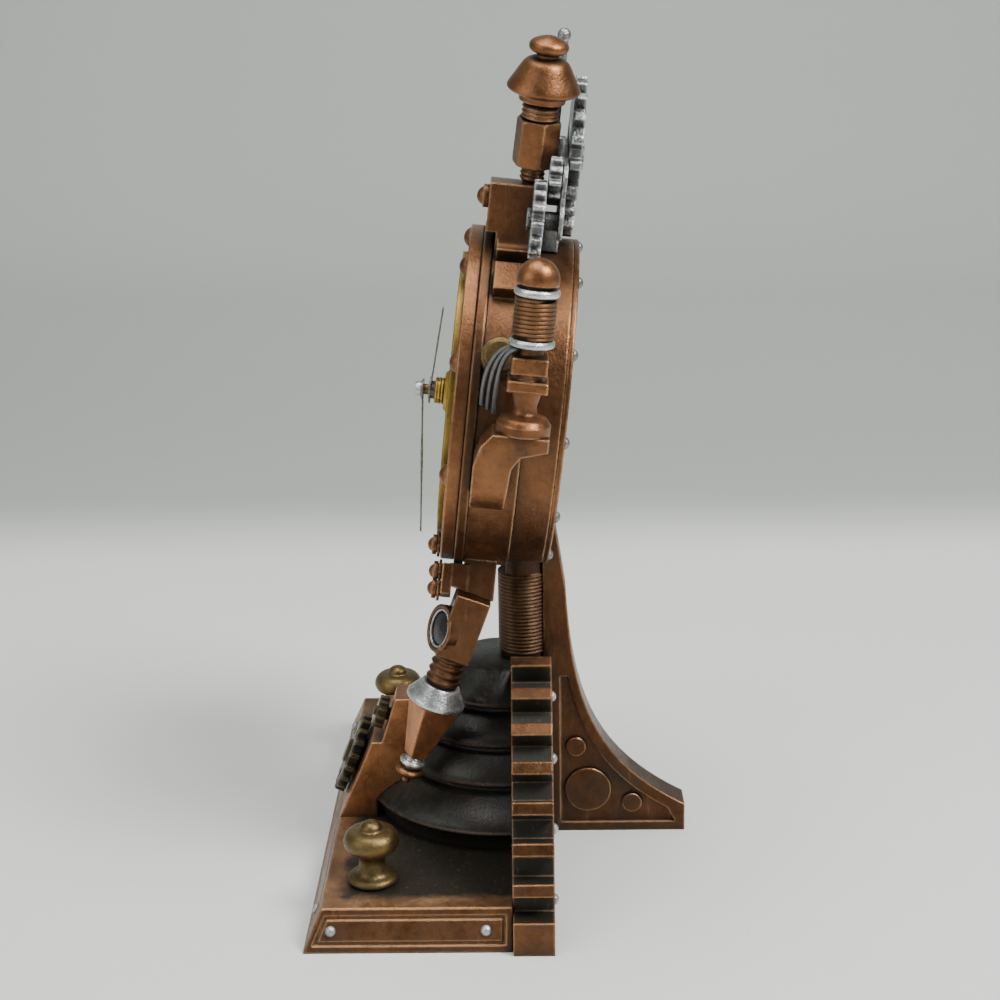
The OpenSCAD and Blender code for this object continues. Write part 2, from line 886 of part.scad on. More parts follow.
module rosette_holes() {
    rosette_places()
        translate([0, 0, -rosette_shank_l - seat])
            cylinder(d = rosette_shank_d + 2 * pin_fit, h = rosette_shank_l + 2 * cut);
}

module lug_screw_place() {
    in_case() translate([lug_x, lug_top - 4.6, -lug_front]) children();
}

// Places the XY plane across the finial at the top of the lug, Z along the finial
finial_back = 1.5;
finial_out = 10.5;
finial_set = 2.6;
rod_sink = 5;

module on_lug() {
    in_case()
        translate([lug_x, lug_top, -lug_mid - finial_set])
            rotate([0, 0, -finial_out]) rotate([-90 - finial_back, 0, 0]) children();
}

module case_frame() {
    color("#7d4b2e")
    difference() {
        in_case()
            difference() {
                union() {
                    case_disc(frame_r, frame_front, drum_front);
                    for (i = [0:frame_tooth_count - 1])
                        rotate([0, 0, frame_tooth_first + i * frame_tooth_pitch])
                            case_block(
                                case_inner_r + cut, frame_tip_r, -frame_tooth_w / 2, frame_tooth_w / 2,
                                frame_front + 1, drum_front - 1
                            );
                    case_block(
                        lug_x - lug_w / 2, lug_x + lug_w / 2, case_inner_r - cut, lug_top, lug_depth[0], lug_depth[1]
                    );
                    case_block(
                        lug_x - lug_w / 2, lug_x + lug_w / 2, seam_r + 0.6, lug_top, lug_front, lug_depth[0] + cut
                    );
                    difference() {
                        rotate([0, 0, foot_angle]) {
                            case_block(
                                case_inner_r + cut, pad_r + 12, -foot_w / 2, foot_w / 2,
                                frame_front + 0.4, foot_rear
                            );
                            case_block(
                                seam_r + 0.6, pad_r + 12, -foot_w / 2 - 0.4, foot_w / 2 + 0.4,
                                pad_rear - cut, frame_front + 2 * cut
                            );
                        }
                        rotate([-90 + tilt, 0, 0]) translate([0, -case_y, -case_z])
                            on_strut() translate([-drum_r / 2, -drum_r / 2, 0]) cube([drum_r, drum_r, drum_r]);
                    }
                    rotate([0, 0, foot_angle])
                        case_block(
                            seam_r + 0.8, pad_r, -foot_w / 2 - 0.6, foot_w / 2 + 0.6,
                            pad_front, pad_rear
                        );
                }
                case_disc(case_inner_r, frame_front - cut, drum_front + cut);
            }
        rosette_holes();
        lug_screw_place()
            translate([0, 0, -lug_shank_l - seat])
                cylinder(d = rosette_shank_d + 2 * pin_fit, h = lug_shank_l + cut);
        on_lug() translate([0, 0, -rod_sink]) cylinder(d = rod_d - 2 + 2 * pin_fit, h = rod_sink + 2 * cut);
    }
}

module seam_ring() {
    color("#9a6240") in_case() case_ring(seam_r, case_inner_r, seam_front, frame_front);
}

// Low round bosses on the front of the bezel
boss_step = 40;
boss_first = 24;
boss_d = 5.8;

module bezel_bosses() {
    for (i = [0:8])
        if (i != 7)
            rotate([0, 0, boss_first + i * boss_step])
                translate([bezel_rosette_r, 0, -bezel_front])
                    intersection() {
                        translate([0, 0, -boss_d * 0.2]) sphere(d = boss_d * 1.1);
                        translate([0, 0, -cut]) cylinder(d = boss_d, h = boss_d);
                    }
}

module bezel() {
    color("#8c4a35")
    difference() {
        in_case() {
            difference() {
                case_ring(bezel_r, dial_r - seat_lip, bezel_front, seam_front);
                case_disc(dial_r + seat, bezel_front - cut, dial_rear);
            }
            bezel_bosses();
        }
        rosette_holes();
    }
}

module dial() {
    color("#b8922e") in_case() case_ring(dial_r, bushing_d / 2 + run_fit, dial_front, dial_rear);
}

module rear_cover() {
    color("#7a4a30")
    in_case()
        difference() {
            case_ring(drum_r, cover_opening_r, cover_front, case_rear);
            cover_rivet_holes();
        }
}

module cover_rivets() {
    color("#77787a")
    in_case() cover_rivet_places() rivet(cover_rivet_d, rivet_shank_d, cover_t + rivet_shank_l);
}

module lug_screw() {
    color("#8a5030") lug_screw_place() {
        cylinder(d = rosette_d * 1.1, h = 1.6);
        translate([0, 0, 1.4]) rivet(rosette_d * 0.9, rosette_shank_d, lug_shank_l + 1.4);
    }
}

module rosette_screws() {
    color("#8a5030")
    rosette_places() {
        cylinder(d = rosette_d * 0.8, h = 1.4);
        translate([0, 0, 1.2]) cylinder(d = rosette_d, h = 1.3);
        translate([0, 0, 2.3]) rivet(rosette_d * 0.72, rosette_shank_d, rosette_shank_l + 2.3);
    }
}

// Finial: stations along its axis
rod_rise = 1.1;
nut_z = 5.4;
nut_h = 12.8;
thread_z = nut_z + nut_h;
thread_h = 5;
bell_z = thread_z + thread_h;
bell_h = 11.5;
bell_top = bell_z + bell_h;
ball_h = 7;
thread_step = 1.3;

// Turned thread: sharp rings along Z
function rings(r, from, to, step, depth) = [
    for (i = [0:floor((to - from) / step) - 1]) each [
        [r - depth, from + i * step],
        [r, from + (i + 0.5) * step],
        [r - depth, from + (i + 1) * step]
    ]
];

module finial_rod() {
    r = rod_d / 2;
    color("#7a4c32")
    on_lug()
        rotate_extrude()
            polygon(concat(
                [[0, -rod_sink + seat], [r - 1, -rod_sink + seat], [r - 1, rod_rise]],
                rings(r, rod_rise, nut_z, thread_step, 0.5),
                [[r - 0.5, thread_z]],
                rings(r + 1.7, thread_z + seat / 2, thread_z + thread_h - 0.4, thread_step, 0.6),
                [[r - 0.5, bell_z], [r - 0.5, bell_z + 3], [0, bell_z + 3]]
            ));
}

module finial_nut() {
    color("#80492c")
    on_lug()
        difference() {
            translate([0, 0, nut_z])
                intersection() {
                    rotate([0, 0, 15]) cylinder(d = nut_d, h = nut_h, $fn = 6);
                    cylinder(r1 = nut_d * 0.45 + nut_h, r2 = nut_d * 0.45, h = nut_h);
                    cylinder(r1 = nut_d * 0.45, r2 = nut_d * 0.45 + nut_h, h = nut_h);
                }
            translate([0, 0, nut_z - cut]) cylinder(d = rod_d + 2 * pin_fit, h = nut_h + 2 * cut);
        }
}

module finial_bell() {
    r = bell_d / 2;
    ball_r = ball_d / 2;
    neck_r = ball_r * 0.58;
    color("#9a5c36")
    on_lug()
        difference() {
            rotate_extrude()
                polygon(concat(
                    [
                        [0, bell_z],
                        [rod_d / 2 + 2.8, bell_z],
                        [rod_d / 2 + 3, bell_z + 1.6],
                        [r - 0.8, bell_z + 2.6],
                        [r, bell_z + 3.4],
                        [r * 0.96, bell_z + 4.6],
                        [r * 0.62, bell_top - 1.2],
                        [r * 0.5, bell_top - 0.3],
                        [neck_r, bell_top],
                        [neck_r, bell_top + 1.2]
                    ],
                    [for (i = [0:8]) [
                        neck_r + (ball_r - neck_r) * sin(i * 22.5),
                        bell_top + 1.2 + (ball_h - 3) * (1 - cos(i * 22.5)) / 2
                    ]],
                    [
                        [neck_r * 0.6, bell_top + ball_h - 1.2],
                        [0, bell_top + ball_h - 0.8]
                    ]
                ));
            translate([0, 0, bell_z - cut]) cylinder(d = rod_d - 1 + 2 * pin_fit, h = 4 + seat);
        }
}

// Silver gears, each between two depths, on pins in a sheet plate
train_t = 3.4;
small_depth = drum_front - train_t;
middle_depth = drum_front + 0.3;
plate_depth = middle_depth + train_t + 0.3;
plate_t = 1.2;
large_depth = plate_depth + plate_t + 0.4;
train_gap = 0.3;
large_at = [0, drum_r + train_large_r + 1.2];
middle_rise = 20;
small_rise = 9.7;
middle_at = [29.5, drum_r + middle_rise];
small_at = [32.4, drum_r + small_rise];
arbor_head = 1.2;
arbor_fit_r = arbor_d / 2 + pin_fit;

module train_gear(at, r, teeth, depth) {
    in_case()
        translate([at[0], at[1], -depth - train_t]) spur_gear(r, r * 0.1 + 1.2, teeth, train_t, arbor_fit_r);
}

module train_gear_large() {
    ring_at = train_large_r * 0.47;
    color("#9da3a6")
    difference() {
        train_gear(large_at, train_large_r, 20, large_depth);
        in_case()
            for (i = [0:4])
                translate([large_at[0], large_at[1], -large_depth - train_t - cut])
                    rotate([0, 0, 18 + i * 72]) translate([ring_at, 0, 0])
                        cylinder(r = train_large_r * 0.2, h = train_t + 2 * cut);
    }
}

module train_gear_middle() {
    color("#9da3a6") train_gear(middle_at, train_middle_r, 10, middle_depth);
}

module train_gear_small() {
    color("#9da3a6") train_gear(small_at, train_small_r, 14, small_depth);
}

// Flat bar of the plate from p to q
module plate_bar(p, q, w) {
    d = q - p;
    translate([p[0], p[1], -plate_depth - plate_t])
        rotate([0, 0, atan2(d[1], d[0])])
            translate([0, -w / 2, 0]) cube([norm(d), w, plate_t]);
}

spindle_x = -13;
spindle_r = 1.4;
spindle_l = 32.4;
spindle_top = large_at[1] + spindle_l;
spindle_low = large_at[1] - 5;
clip_w = 6;
clip_h = 8;
bridge_foot = [10, case_inner_r + 2];
bar_w = 8;

module gear_bridge() {
    clip_depth = plate_depth - 2 * spindle_r - 2;
    color("#8d9396")
    difference() {
        in_case() {
            plate_bar(bridge_foot, large_at, bar_w);
            plate_bar(large_at, middle_at, bar_w);
            plate_bar(middle_at, small_at, bar_w);
            plate_bar(large_at, [spindle_x, large_at[1]], bar_w - 2);
            for (at = [large_at, middle_at, small_at])
                translate([at[0], at[1], -plate_depth - plate_t]) cylinder(d = bar_w + 2, h = plate_t);
            case_block(
                bridge_foot[0] - bar_w / 2, bridge_foot[0] + bar_w / 2, bridge_foot[1], drum_r + 5,
                drum_front + 0.8, plate_depth + plate_t
            );
            case_block(
                spindle_x - clip_w / 2, spindle_x + clip_w / 2, large_at[1] - clip_h / 2, large_at[1] + clip_h / 2,
                clip_depth, plate_depth + plate_t
            );
        }
        in_case() case_disc(drum_r + seat / 3, frame_front, case_rear);
        in_case()
            for (at = [large_at, middle_at, small_at])
                translate([at[0], at[1], -large_depth]) cylinder(r = arbor_fit_r, h = 2 * plate_t + cut);
        in_case()
            translate([spindle_x, spindle_low - cut, -(plate_depth - spindle_r - 1)])
                rotate([-90, 0, 0]) cylinder(r = spindle_r + pin_fit, h = 2 * clip_h);
    }
}

// Pin between two depths with a round head at the front or the rear end
module arbor(at, from, to) {
    translate([at[0], at[1], -to]) cylinder(d = arbor_d, h = to - from);
}

module gear_arbors() {
    color("#b4b8ba")
    in_case() {
        arbor(large_at, plate_depth, large_depth + train_t);
        translate([large_at[0], large_at[1], -large_depth - train_t - arbor_head])
            cylinder(d = arbor_d * 1.7, h = arbor_head);
        arbor(middle_at, middle_depth, plate_depth + plate_t);
        arbor(small_at, small_depth, plate_depth + plate_t);
        translate([small_at[0], small_at[1], -small_depth]) cylinder(d = arbor_d * 1.5, h = arbor_head);
        translate([small_at[0], small_at[1], -plate_depth + seat])
            cylinder(d = arbor_d * 1.25, h = plate_depth - small_depth - train_t - 2 * seat);
    }
}

module spindle() {
    color("#b4b8ba")
    in_case()
        translate([spindle_x, spindle_low, -(plate_depth - spindle_r - 1)])
            rotate([-90, 0, 0]) {
                cylinder(r = spindle_r, h = spindle_top - spindle_low);
                translate([0, 0, spindle_top - spindle_low]) sphere(r = spindle_r * 1.4);
            }
}

// Side post: arm on the frame, then stations up the post
arm_top = 6;
arm_half = 6;
arm_bulge = 15;
arm_drop = 21;
arm_low = arm_top - 26;
arm_low_depth = 9;
arm_head = 3.5;
arm_curve = 9;
post_set = 12.3;
post_depth = frame_front + post_set;
flange_r = 7.2;
flange_h = 4.2;
lower_square_z = 11.5;
upper_square_z = 16;
ring_z = 23;
ring_h = 2;
bend_r = 0.9;
coil_lift = wire_d + bend_r;
coil_len = wire_turns * wire_pitch + 2 * coil_lift;
top_ring_z = ring_z + ring_h + coil_len;
core_top = top_ring_z + ring_h + 1;
ring_r = 6;
dome_r = 5.6;

module on_post() {
    in_case() translate([post_x, arm_top, -post_depth]) rotate([-90, 0, 0]) children();
}

module side_arm() {
    color("#84502f")
    in_case()
        difference() {
            intersection() {
                translate([0, 0, -case_rear])
                    linear_extrude(case_rear)
                        polygon(concat(
                            [
                                [post_x - arm_half, arm_top],
                                [post_x + arm_half, arm_top]
                            ],
                            [for (i = [0:6]) [
                                post_x + arm_half + 0.2 - arm_bulge * (1 - cos(i * 11)),
                                arm_top - 2 - arm_drop * sin(i * 13)
                            ]],
                            [polar(case_inner_r, -20), polar(case_inner_r, -4), [post_x - arm_half, arm_top - arm_half]]
                        ));
                rotate([0, 90, 0])
                    linear_extrude(2 * post_x)
                        polygon([
                            [frame_front + 0.2, arm_low],
                            [frame_front + arm_low_depth, arm_low],
                            [frame_front + arm_low_depth + 1.2, arm_top - arm_curve],
                            [post_depth, arm_top - arm_head - 2],
                            [post_depth + arm_half + 1, arm_top - arm_head],
                            [post_depth + arm_half + 1, arm_top + cut],
                            [post_depth - arm_half - 1, arm_top + cut],
                            [frame_front + 1.6, arm_top - arm_head],
                            [frame_front + 0.2, arm_top - arm_curve]
                        ]);
            }
            case_disc(frame_r + seat / 3, frame_front - cut, case_rear + cut);
        }
}

module square_ring(w, z, h) {
    translate([-w / 2, -w / 2, z]) cube([w, w, h]);
}

module coil_post() {
    color("#8f5835")
    on_post() {
        rotate_extrude()
            polygon([
                [0, 0],
                [flange_r, 0],
                [flange_r, flange_h * 0.6],
                [flange_r * 0.85, flange_h],
                [3.4, flange_h + 0.8],
                [3, flange_h + 3],
                [4.2, lower_square_z + 0.5],
                [4.2, upper_square_z + 4.3],
                [3.2, upper_square_z + 5.2],
                [3.2, ring_z],
                [core_r, ring_z],
                [core_r, core_top],
                [0, core_top]
            ]);
        square_ring(10.6, lower_square_z, 3);
        square_ring(9.4, upper_square_z, 4.5);
    }
}

module coil_ring(z) {
    translate([0, 0, z])
        difference() {
            rotate_extrude()
                polygon([
                    [0, 0],
                    [ring_r - 0.5, 0],
                    [ring_r, 0.5],
                    [ring_r, ring_h - 0.5],
                    [ring_r - 0.5, ring_h],
                    [0, ring_h]
                ]);
            translate([0, 0, -cut]) cylinder(r = core_r + pin_fit, h = ring_h + 2 * cut);
        }
}

module coil_rings() {
    color("silver") on_post() {
        coil_ring(ring_z);
        coil_ring(top_ring_z);
    }
}

module coil_ball() {
    color("#9c5c36")
    on_post()
        translate([0, 0, core_top])
            intersection() {
                translate([0, 0, dome_r * 0.2]) sphere(r = dome_r);
                cylinder(r = dome_r, h = 2 * dome_r);
            }
}

// Winding: one tube round the core, its ends rise straight from the ring faces
ring_points = 24;
tube_sides = 6;
wind_r = core_r + wire_d / 2 + 0.12;
bend_steps = 4;
wind_len = 2 * PI * wind_r * wire_turns;
wind_rise = wire_turns * wire_pitch;
wind_base = ring_z + ring_h;

// Path as length round the core and height, then as points
function wind_low(i) = let (a = 90 * i / bend_steps) [bend_r * (1 - cos(a)), wire_d + bend_r * sin(a)];
wind_flat = concat(
    [[0, 0]],
    [for (i = [0:bend_steps - 1]) wind_low(i)],
    [for (i = [0:wire_turns * ring_points]) let (f = i / (wire_turns * ring_points)) [
        bend_r + f * wind_len,
        coil_lift + f * wind_rise
    ]],
    [for (i = [bend_steps - 1:-1:0]) [
        2 * bend_r + wind_len - wind_low(i)[0],
        2 * coil_lift + wind_rise - wind_low(i)[1]
    ]],
    [[2 * bend_r + wind_len, coil_len]]
);

function around(p) = let (a = p[0] / wind_r * 180 / PI) [
    wind_r * cos(a), wind_r * sin(a), wind_base + p[1]
];
wind_path = [for (p = wind_flat) around(p)];

function unit(v) = v / norm(v);
function heading(path, i) = unit(path[min(i + 1, len(path) - 1)] - path[max(i - 1, 0)]);

// Ring of points square to the path, with one direction kept away from the given axis
function tube_ring(path, i, r, out) = let (
    t = heading(path, i),
    side = unit(cross(t, out[i])),
    up = cross(side, t)
) [for (k = [0:tube_sides - 1]) path[i] + r * (cos(k * 360 / tube_sides) * up + sin(k * 360 / tube_sides) * side)];

module tube(path, r, out) {
    n = len(path);
    points = [for (i = [0:n - 1]) each tube_ring(path, i, r, out)];
    walls = [for (i = [0:n - 2], k = [0:tube_sides - 1]) let (
        a = i * tube_sides + k,
        b = i * tube_sides + (k + 1) % tube_sides,
        c = a + tube_sides,
        d = b + tube_sides
    ) each [[a, b, c], [b, d, c]]];
    ends = [for (k = [1:tube_sides - 2]) each [
        [0, k + 1, k],
        [(n - 1) * tube_sides, (n - 1) * tube_sides + k, (n - 1) * tube_sides + k + 1]
    ]];
    polyhedron(points, concat(walls, ends));
}

// Least gap between turns, from points more than half a turn apart
wind_gap = min([
    for (i = [0:len(wind_path) - 1], j = [i + ring_points / 2:len(wind_path) - 1])
        norm(wind_path[i] - wind_path[j]) - wire_d
]);
echo(least_gap_of_winding = wind_gap);

module coil_wire() {
    outward = [for (p = wind_path) [p[0], p[1], 0]];
    color("#a4623a") on_post() tube(wind_path, wire_d / 2, outward);
}

// Grey leads: each bends from the neck under the lower ring down to the frame
lead_step = 1.7;
lead_points = 9;
lead_out = 3.5;
lead_foot_up = 8.5;

function bend(a, b, c, f) = (1 - f) * (1 - f) * a + 2 * f * (1 - f) * b + f * f * c;

module lead_wires() {
    color("#7d8484")
    in_case()
        for (i = [-1:1]) {
            lead_top = arm_top + ring_z - lead_d / 2 - 0.2;
            start = [post_x + i * lead_step, lead_top, -(post_depth - lead_out)];
            foot_up = lead_foot_up - i;
            spread = lead_step * (i + 1);
            foot_out = sqrt(frame_r * frame_r - foot_up * foot_up) + lead_d / 2;
            foot = [foot_out, foot_up, -(frame_front + 0.9 + spread)];
            knee = [start[0] - 1, lead_top - 0.6, -(frame_front + 0.4 + spread)];
            path = [for (k = [0:lead_points - 1]) bend(start, knee, foot, k / (lead_points - 1))];
            tube(path, lead_d / 2, [for (p = path) [0, 1, 0.2]]);
        }
}

boss_angle = 25;
boss_l = 6;

module side_boss() {
    color("#a58c4a")
    in_case()
        difference() {
            rotate([0, 0, boss_angle])
                translate([frame_r - 2, 0, -(frame_front + 4.6)])
                    rotate([0, 90, 0]) {
                        cylinder(r = boss_r, h = boss_l + 1.2);
                        cylinder(r = boss_r - 0.8, h = boss_l + 2);
                    }
            case_disc(frame_r + seat / 3, frame_front - cut, drum_front + cut);
            case_disc(seam_r + seat, -cut, frame_front);
        }
}

// Strut: stations along its axis, downwards
thread_l = 11;
thread_r = 5.2;
arm_side = 12;
cup_r = 7;
cup_wall = 1.1;
cup_depth = 1.4;
cup_turn = 25;
collar_l = 6;
collar_start = arm_l + thread_l - 1;
body_start = collar_start + collar_l;
body_end = body_start + body_l;
body_top_w = 12.2;
body_low_w = 5.2;
body_turn = 25;
neck_r = 2.6;
tip_ring_r = 3.9;
bead_r = 4.3;

// Round cup on the front of the arm, turned to the right
module cup(r, from, to) {
    translate([0, arm_w / 2 - 1.6, arm_l - cup_r + 0.4])
        rotate([0, 0, -cup_turn]) rotate([-90, 0, 0])
            translate([0, 0, from]) cylinder(r = r, h = to - from);
}

module strut_arm() {
    cup_l = 3.4;
    color("#7e4a2c")
    on_strut() {
        difference() {
            union() {
                translate([-arm_side / 2, -arm_w / 2, 0]) cube([arm_side, arm_w, arm_l]);
                cup(cup_r, 0, cup_l);
            }
            cup(cup_r - cup_wall, cup_l - cup_depth, cup_l + cut);
        }
        rotate_extrude()
            polygon(concat(
                [[0, arm_l - 1], [thread_r - 0.9, arm_l - 1]],
                rings(thread_r, arm_l - 0.1, arm_l + thread_l - 1, 2.4, 0.9),
                [[thread_r - 0.9, collar_start + 3], [0, collar_start + 3]]
            ));
    }
}

module nozzle_collar() {
    color("#a9adad")
    on_strut()
        difference() {
            rotate_extrude()
                polygon([
                    [0, collar_start],
                    [thread_r + 0.4, collar_start],
                    [collar_r, collar_start + collar_l - 1.4],
                    [collar_r, collar_start + collar_l - 0.4],
                    [collar_r - 0.6, collar_start + collar_l],
                    [0, collar_start + collar_l]
                ]);
            translate([0, 0, collar_start - cut])
                cylinder(r = thread_r - 0.9 + pin_fit, h = 3 + cut + seat);
        }
}

module nozzle_body() {
    color("#93552f")
    on_strut()
        translate([0, 0, body_start])
            rotate([0, 0, 45 - body_turn])
                cylinder(d1 = body_top_w * sqrt(2), d2 = body_low_w * sqrt(2), h = body_l, $fn = 4);
}

module nozzle_tip() {
    color("#a9795a")
    on_strut()
        translate([0, 0, body_end])
            rotate_extrude()
                polygon([
                    [0, 0],
                    [neck_r, 0],
                    [neck_r, 1],
                    [tip_ring_r - 0.4, 1.2],
                    [tip_ring_r, 1.9],
                    [tip_ring_r - 0.4, 2.6],
                    [neck_r, 2.8],
                    [neck_r, 3.6],
                    [bead_r, 4.2],
                    [bead_r, 5.2],
                    [bead_r * 0.7, 6.4],
                    [1.4, 6.8],
                    [1.2, 8.6],
                    [0, 8.8]
                ]);
}

// Movement: stations as depths behind the dial plane
move_front = dial_rear + 0.2;
move_rear = move_front + movement_t;
floor_depth = move_front + movement_wall;
lid_t = 1.4;
lid_front = move_rear - lid_t;
corner_r = dial_r - seat_lip - 2.6;
corner_gap = 0.1;
hour_out_r = bushing_d / 2 - 1.35;
bush_bore_r = hour_out_r + run_fit;
minute_r = hour_out_r - 1.1;
hour_bore_r = minute_r + run_fit;
bushing_front = dial_front - bushing_l;
tube_front = bushing_front - 1.9;
arbor_front = tube_front - 2.2;
wheel_gap = 0.3;
inner_half = movement_w / 2 - movement_wall;
wheel_room = 1.75;
wheel_unit = (inner_half - wheel_room) / 45;
hour_wheel_r = 16 * wheel_unit;
motion_pinion_r = 4 * wheel_unit;
minute_pinion_r = 5 * wheel_unit;
motion_wheel_r = 15 * wheel_unit;
motion_x = hour_wheel_r + motion_pinion_r;
setting_x = motion_x + motion_wheel_r + minute_pinion_r;
low_level = [floor_depth + 0.8, floor_depth + 2.2];
high_level = [floor_depth + 4, floor_depth + 5.4];
post_r = 0.9;
setting_r = 1.5;
battery_d = 14;
cell_gap = 1.5;
cell_side_gap = 0.9;
cell_low = inner_half - cell_side_gap;
battery_l = 2 * min(inner_half - cell_gap, corner_room(cell_low));
battery_up = battery_d / 2 - cell_low;
battery_depth = floor_depth + battery_d / 2 + 0.1;
knob_r = 5.4;
knob_out = 5.5;

// Half width inside the movement at a height, where its corners are rounded off
function corner_room(up) = sqrt(pow(corner_r - movement_wall - corner_gap, 2) - up * up);

// Square of the movement with its corners rounded off, between two depths
module movement_block(w, from, to) {
    intersection() {
        case_block(-w / 2, w / 2, -w / 2, w / 2, from, to);
        case_disc(corner_r - (movement_w - w) / 2, from, to);
    }
}

module movement_case() {
    color("#232425")
    in_case() {
        difference() {
            movement_block(movement_w, move_front, lid_front);
            movement_block(movement_w - 2 * movement_wall, floor_depth, lid_front + cut);
            case_disc(bush_bore_r, move_front - cut, floor_depth + cut);
        }
        translate([motion_x, 0, -(high_level[1] + 1)])
            cylinder(r = post_r, h = high_level[1] + 1 - floor_depth + cut / 2);
    }
}

module movement_back() {
    color("#232425")
    in_case()
        difference() {
            movement_block(movement_w, lid_front, move_rear);
            translate([setting_x, 0, -move_rear - cut]) cylinder(r = setting_r + run_fit, h = lid_t + 2 * cut);
        }
}

module battery() {
    color("#5d6a70")
    in_case()
        translate([-battery_l / 2, battery_up, -battery_depth]) rotate([0, 90, 0]) {
            cylinder(d = battery_d, h = battery_l - 1.4);
            cylinder(d = 5.4, h = battery_l);
        }
}

coil_bobbin_r = 3.6;
coil_in = 8.5;
coil_up = inner_half - coil_in;
bobbin_l = 22;
cheek_t = 1.2;

module motor_coil() {
    color("#b06a3a")
    in_case()
        translate([-bobbin_l / 2, coil_up, -(floor_depth + coil_bobbin_r + 0.05)])
            rotate([0, 90, 0]) {
                cylinder(r = coil_bobbin_r, h = cheek_t);
                cylinder(r = coil_bobbin_r - cheek_t / 2, h = bobbin_l);
                translate([0, 0, bobbin_l - cheek_t]) cylinder(r = coil_bobbin_r, h = cheek_t);
            }
}

board_t = 1.2;
board_w = 13;
board_left = 4.5;
board_right = 12.5;
crystal_r = 1.5;
chip_w = 6;
chip_l = 8;

module circuit_board() {
    board_depth = lid_front - board_t;
    board_top = inner_half - cell_gap;
    board_side = -min(inner_half - board_left, corner_room(board_top));
    chip_top = board_top - board_w / 2 + chip_w / 2;
    color("#2f5c3c") in_case() {
        case_block(
            board_side, inner_half - board_right, board_top - board_w, board_top,
            board_depth, lid_front
        );
        translate([board_side + chip_w, board_top - board_w * 0.7, -board_depth])
            cylinder(r = crystal_r, h = 2);
        case_block(-chip_w, chip_l - chip_w, chip_top - chip_w, chip_top, board_depth - 1, board_depth);
    }
}

module bushing() {
    thread_p = 0.9;
    outer = bushing_d / 2;
    color("#a8873c")
    in_case()
        difference() {
            rotate_extrude()
                polygon(concat(
                    [[0, -move_front], [outer - 0.3, -move_front], [outer - 0.3, -dial_front]],
                    rings(outer, -dial_front, -bushing_front, thread_p, 0.3),
                    [[outer - 0.3, -bushing_front], [0, -bushing_front]]
                ));
            case_disc(bush_bore_r, bushing_front - cut, move_front + cut);
        }
}

nut_ring_h = 1.8;

module dial_nut() {
    color("#b8922e")
    in_case()
        difference() {
            translate([0, 0, -dial_front])
                cylinder(r1 = bushing_d / 2 + 3, r2 = bushing_d / 2 + 1.4, h = nut_ring_h);
            translate([0, 0, -dial_front - cut]) cylinder(d = bushing_d + 2 * pin_fit, h = nut_ring_h + 2 * cut);
        }
}

// Wheel of the movement, between two depths, about its own axis
module wheel(r, teeth, level) {
    translate([0, 0, -level[1]]) spur_gear(r - wheel_gap / 2, r * 0.08 + 0.3, teeth, level[1] - level[0], 0.2);
}

module minute_arbor() {
    color("#b89a4a")
    in_case() {
        case_disc(minute_r, arbor_front, high_level[1] + 1);
        wheel(minute_pinion_r, 10, high_level);
    }
}

module hour_tube() {
    color("#a8abad")
    in_case()
        difference() {
            union() {
                case_disc(hour_out_r, tube_front, low_level[1] + 0.6);
                wheel(hour_wheel_r, 32, low_level);
            }
            case_disc(hour_bore_r, tube_front - cut, low_level[1] + 2 * cut);
        }
}

module motion_wheel() {
    color("#c9c4b4")
    in_case()
        translate([motion_x, 0, 0])
            difference() {
                union() {
                    wheel(motion_wheel_r, 30, high_level);
                    wheel(motion_pinion_r, 8, low_level);
                    case_disc(motion_pinion_r - 0.7, low_level[0], high_level[1]);
                }
                case_disc(post_r + run_fit, low_level[0] - cut, high_level[1] + cut);
            }
}

module setting_knob() {
    color("#2d2e30")
    in_case()
        translate([setting_x, 0, 0]) {
            wheel(minute_pinion_r, 10, high_level);
            case_disc(setting_r, high_level[0], move_rear + 1.2);
            case_disc(knob_r - 0.6, move_rear + 0.6, move_rear + 1.4);
            case_disc(knob_r, move_rear + 1.2, move_rear + 1 + knob_out);
        }
}

// Hands: thin plates that droop a little towards the dial
hand_t = 0.5;
droop = 4;
hour_hub_r = 4;
minute_hub_r = 3;
hour_hand_at = tube_front + 0.7;
minute_hand_at = arbor_front + 0.7;

// Blade along Y from the hub: a slim stem, an open leaf and a point
module blade(l, leaf_w, stem_w) {
    difference() {
        polygon([
            [-stem_w, 0],
            [-stem_w * 0.6, l * 0.3],
            [-leaf_w, l * 0.42],
            [-leaf_w * 0.9, l * 0.56],
            [-stem_w * 0.5, l * 0.7],
            [0, l],
            [stem_w * 0.5, l * 0.7],
            [leaf_w * 0.9, l * 0.56],
            [leaf_w, l * 0.42],
            [stem_w * 0.6, l * 0.3],
            [stem_w, 0]
        ]);
        polygon([
            [0, l * 0.38],
            [-leaf_w * 0.6, l * 0.45],
            [-leaf_w * 0.5, l * 0.55],
            [0, l * 0.63],
            [leaf_w * 0.5, l * 0.55],
            [leaf_w * 0.6, l * 0.45]
        ]);
    }
}

module hand(l, leaf_w, stem_w, hub_r, bore_r, angle, depth) {
    in_case()
        rotate([0, 0, -angle])
            translate([0, 0, -depth])
                difference() {
                    union() {
                        rotate([-droop, 0, 0]) linear_extrude(hand_t) blade(l, leaf_w, stem_w);
                        cylinder(r = hub_r, h = hand_t);
                    }
                    translate([0, 0, -cut]) cylinder(r = bore_r, h = 3 * cut);
                }
}

module hour_hand() {
    color("#3a3a38") hand(hour_l, 3.2, 1.1, hour_hub_r, hour_out_r + 0.02, hour_angle, hour_hand_at);
}

module minute_hand() {
    color("#3a3a38") hand(minute_l, 2.8, 0.9, minute_hub_r, minute_r + 0.02, minute_angle, minute_hand_at);
}

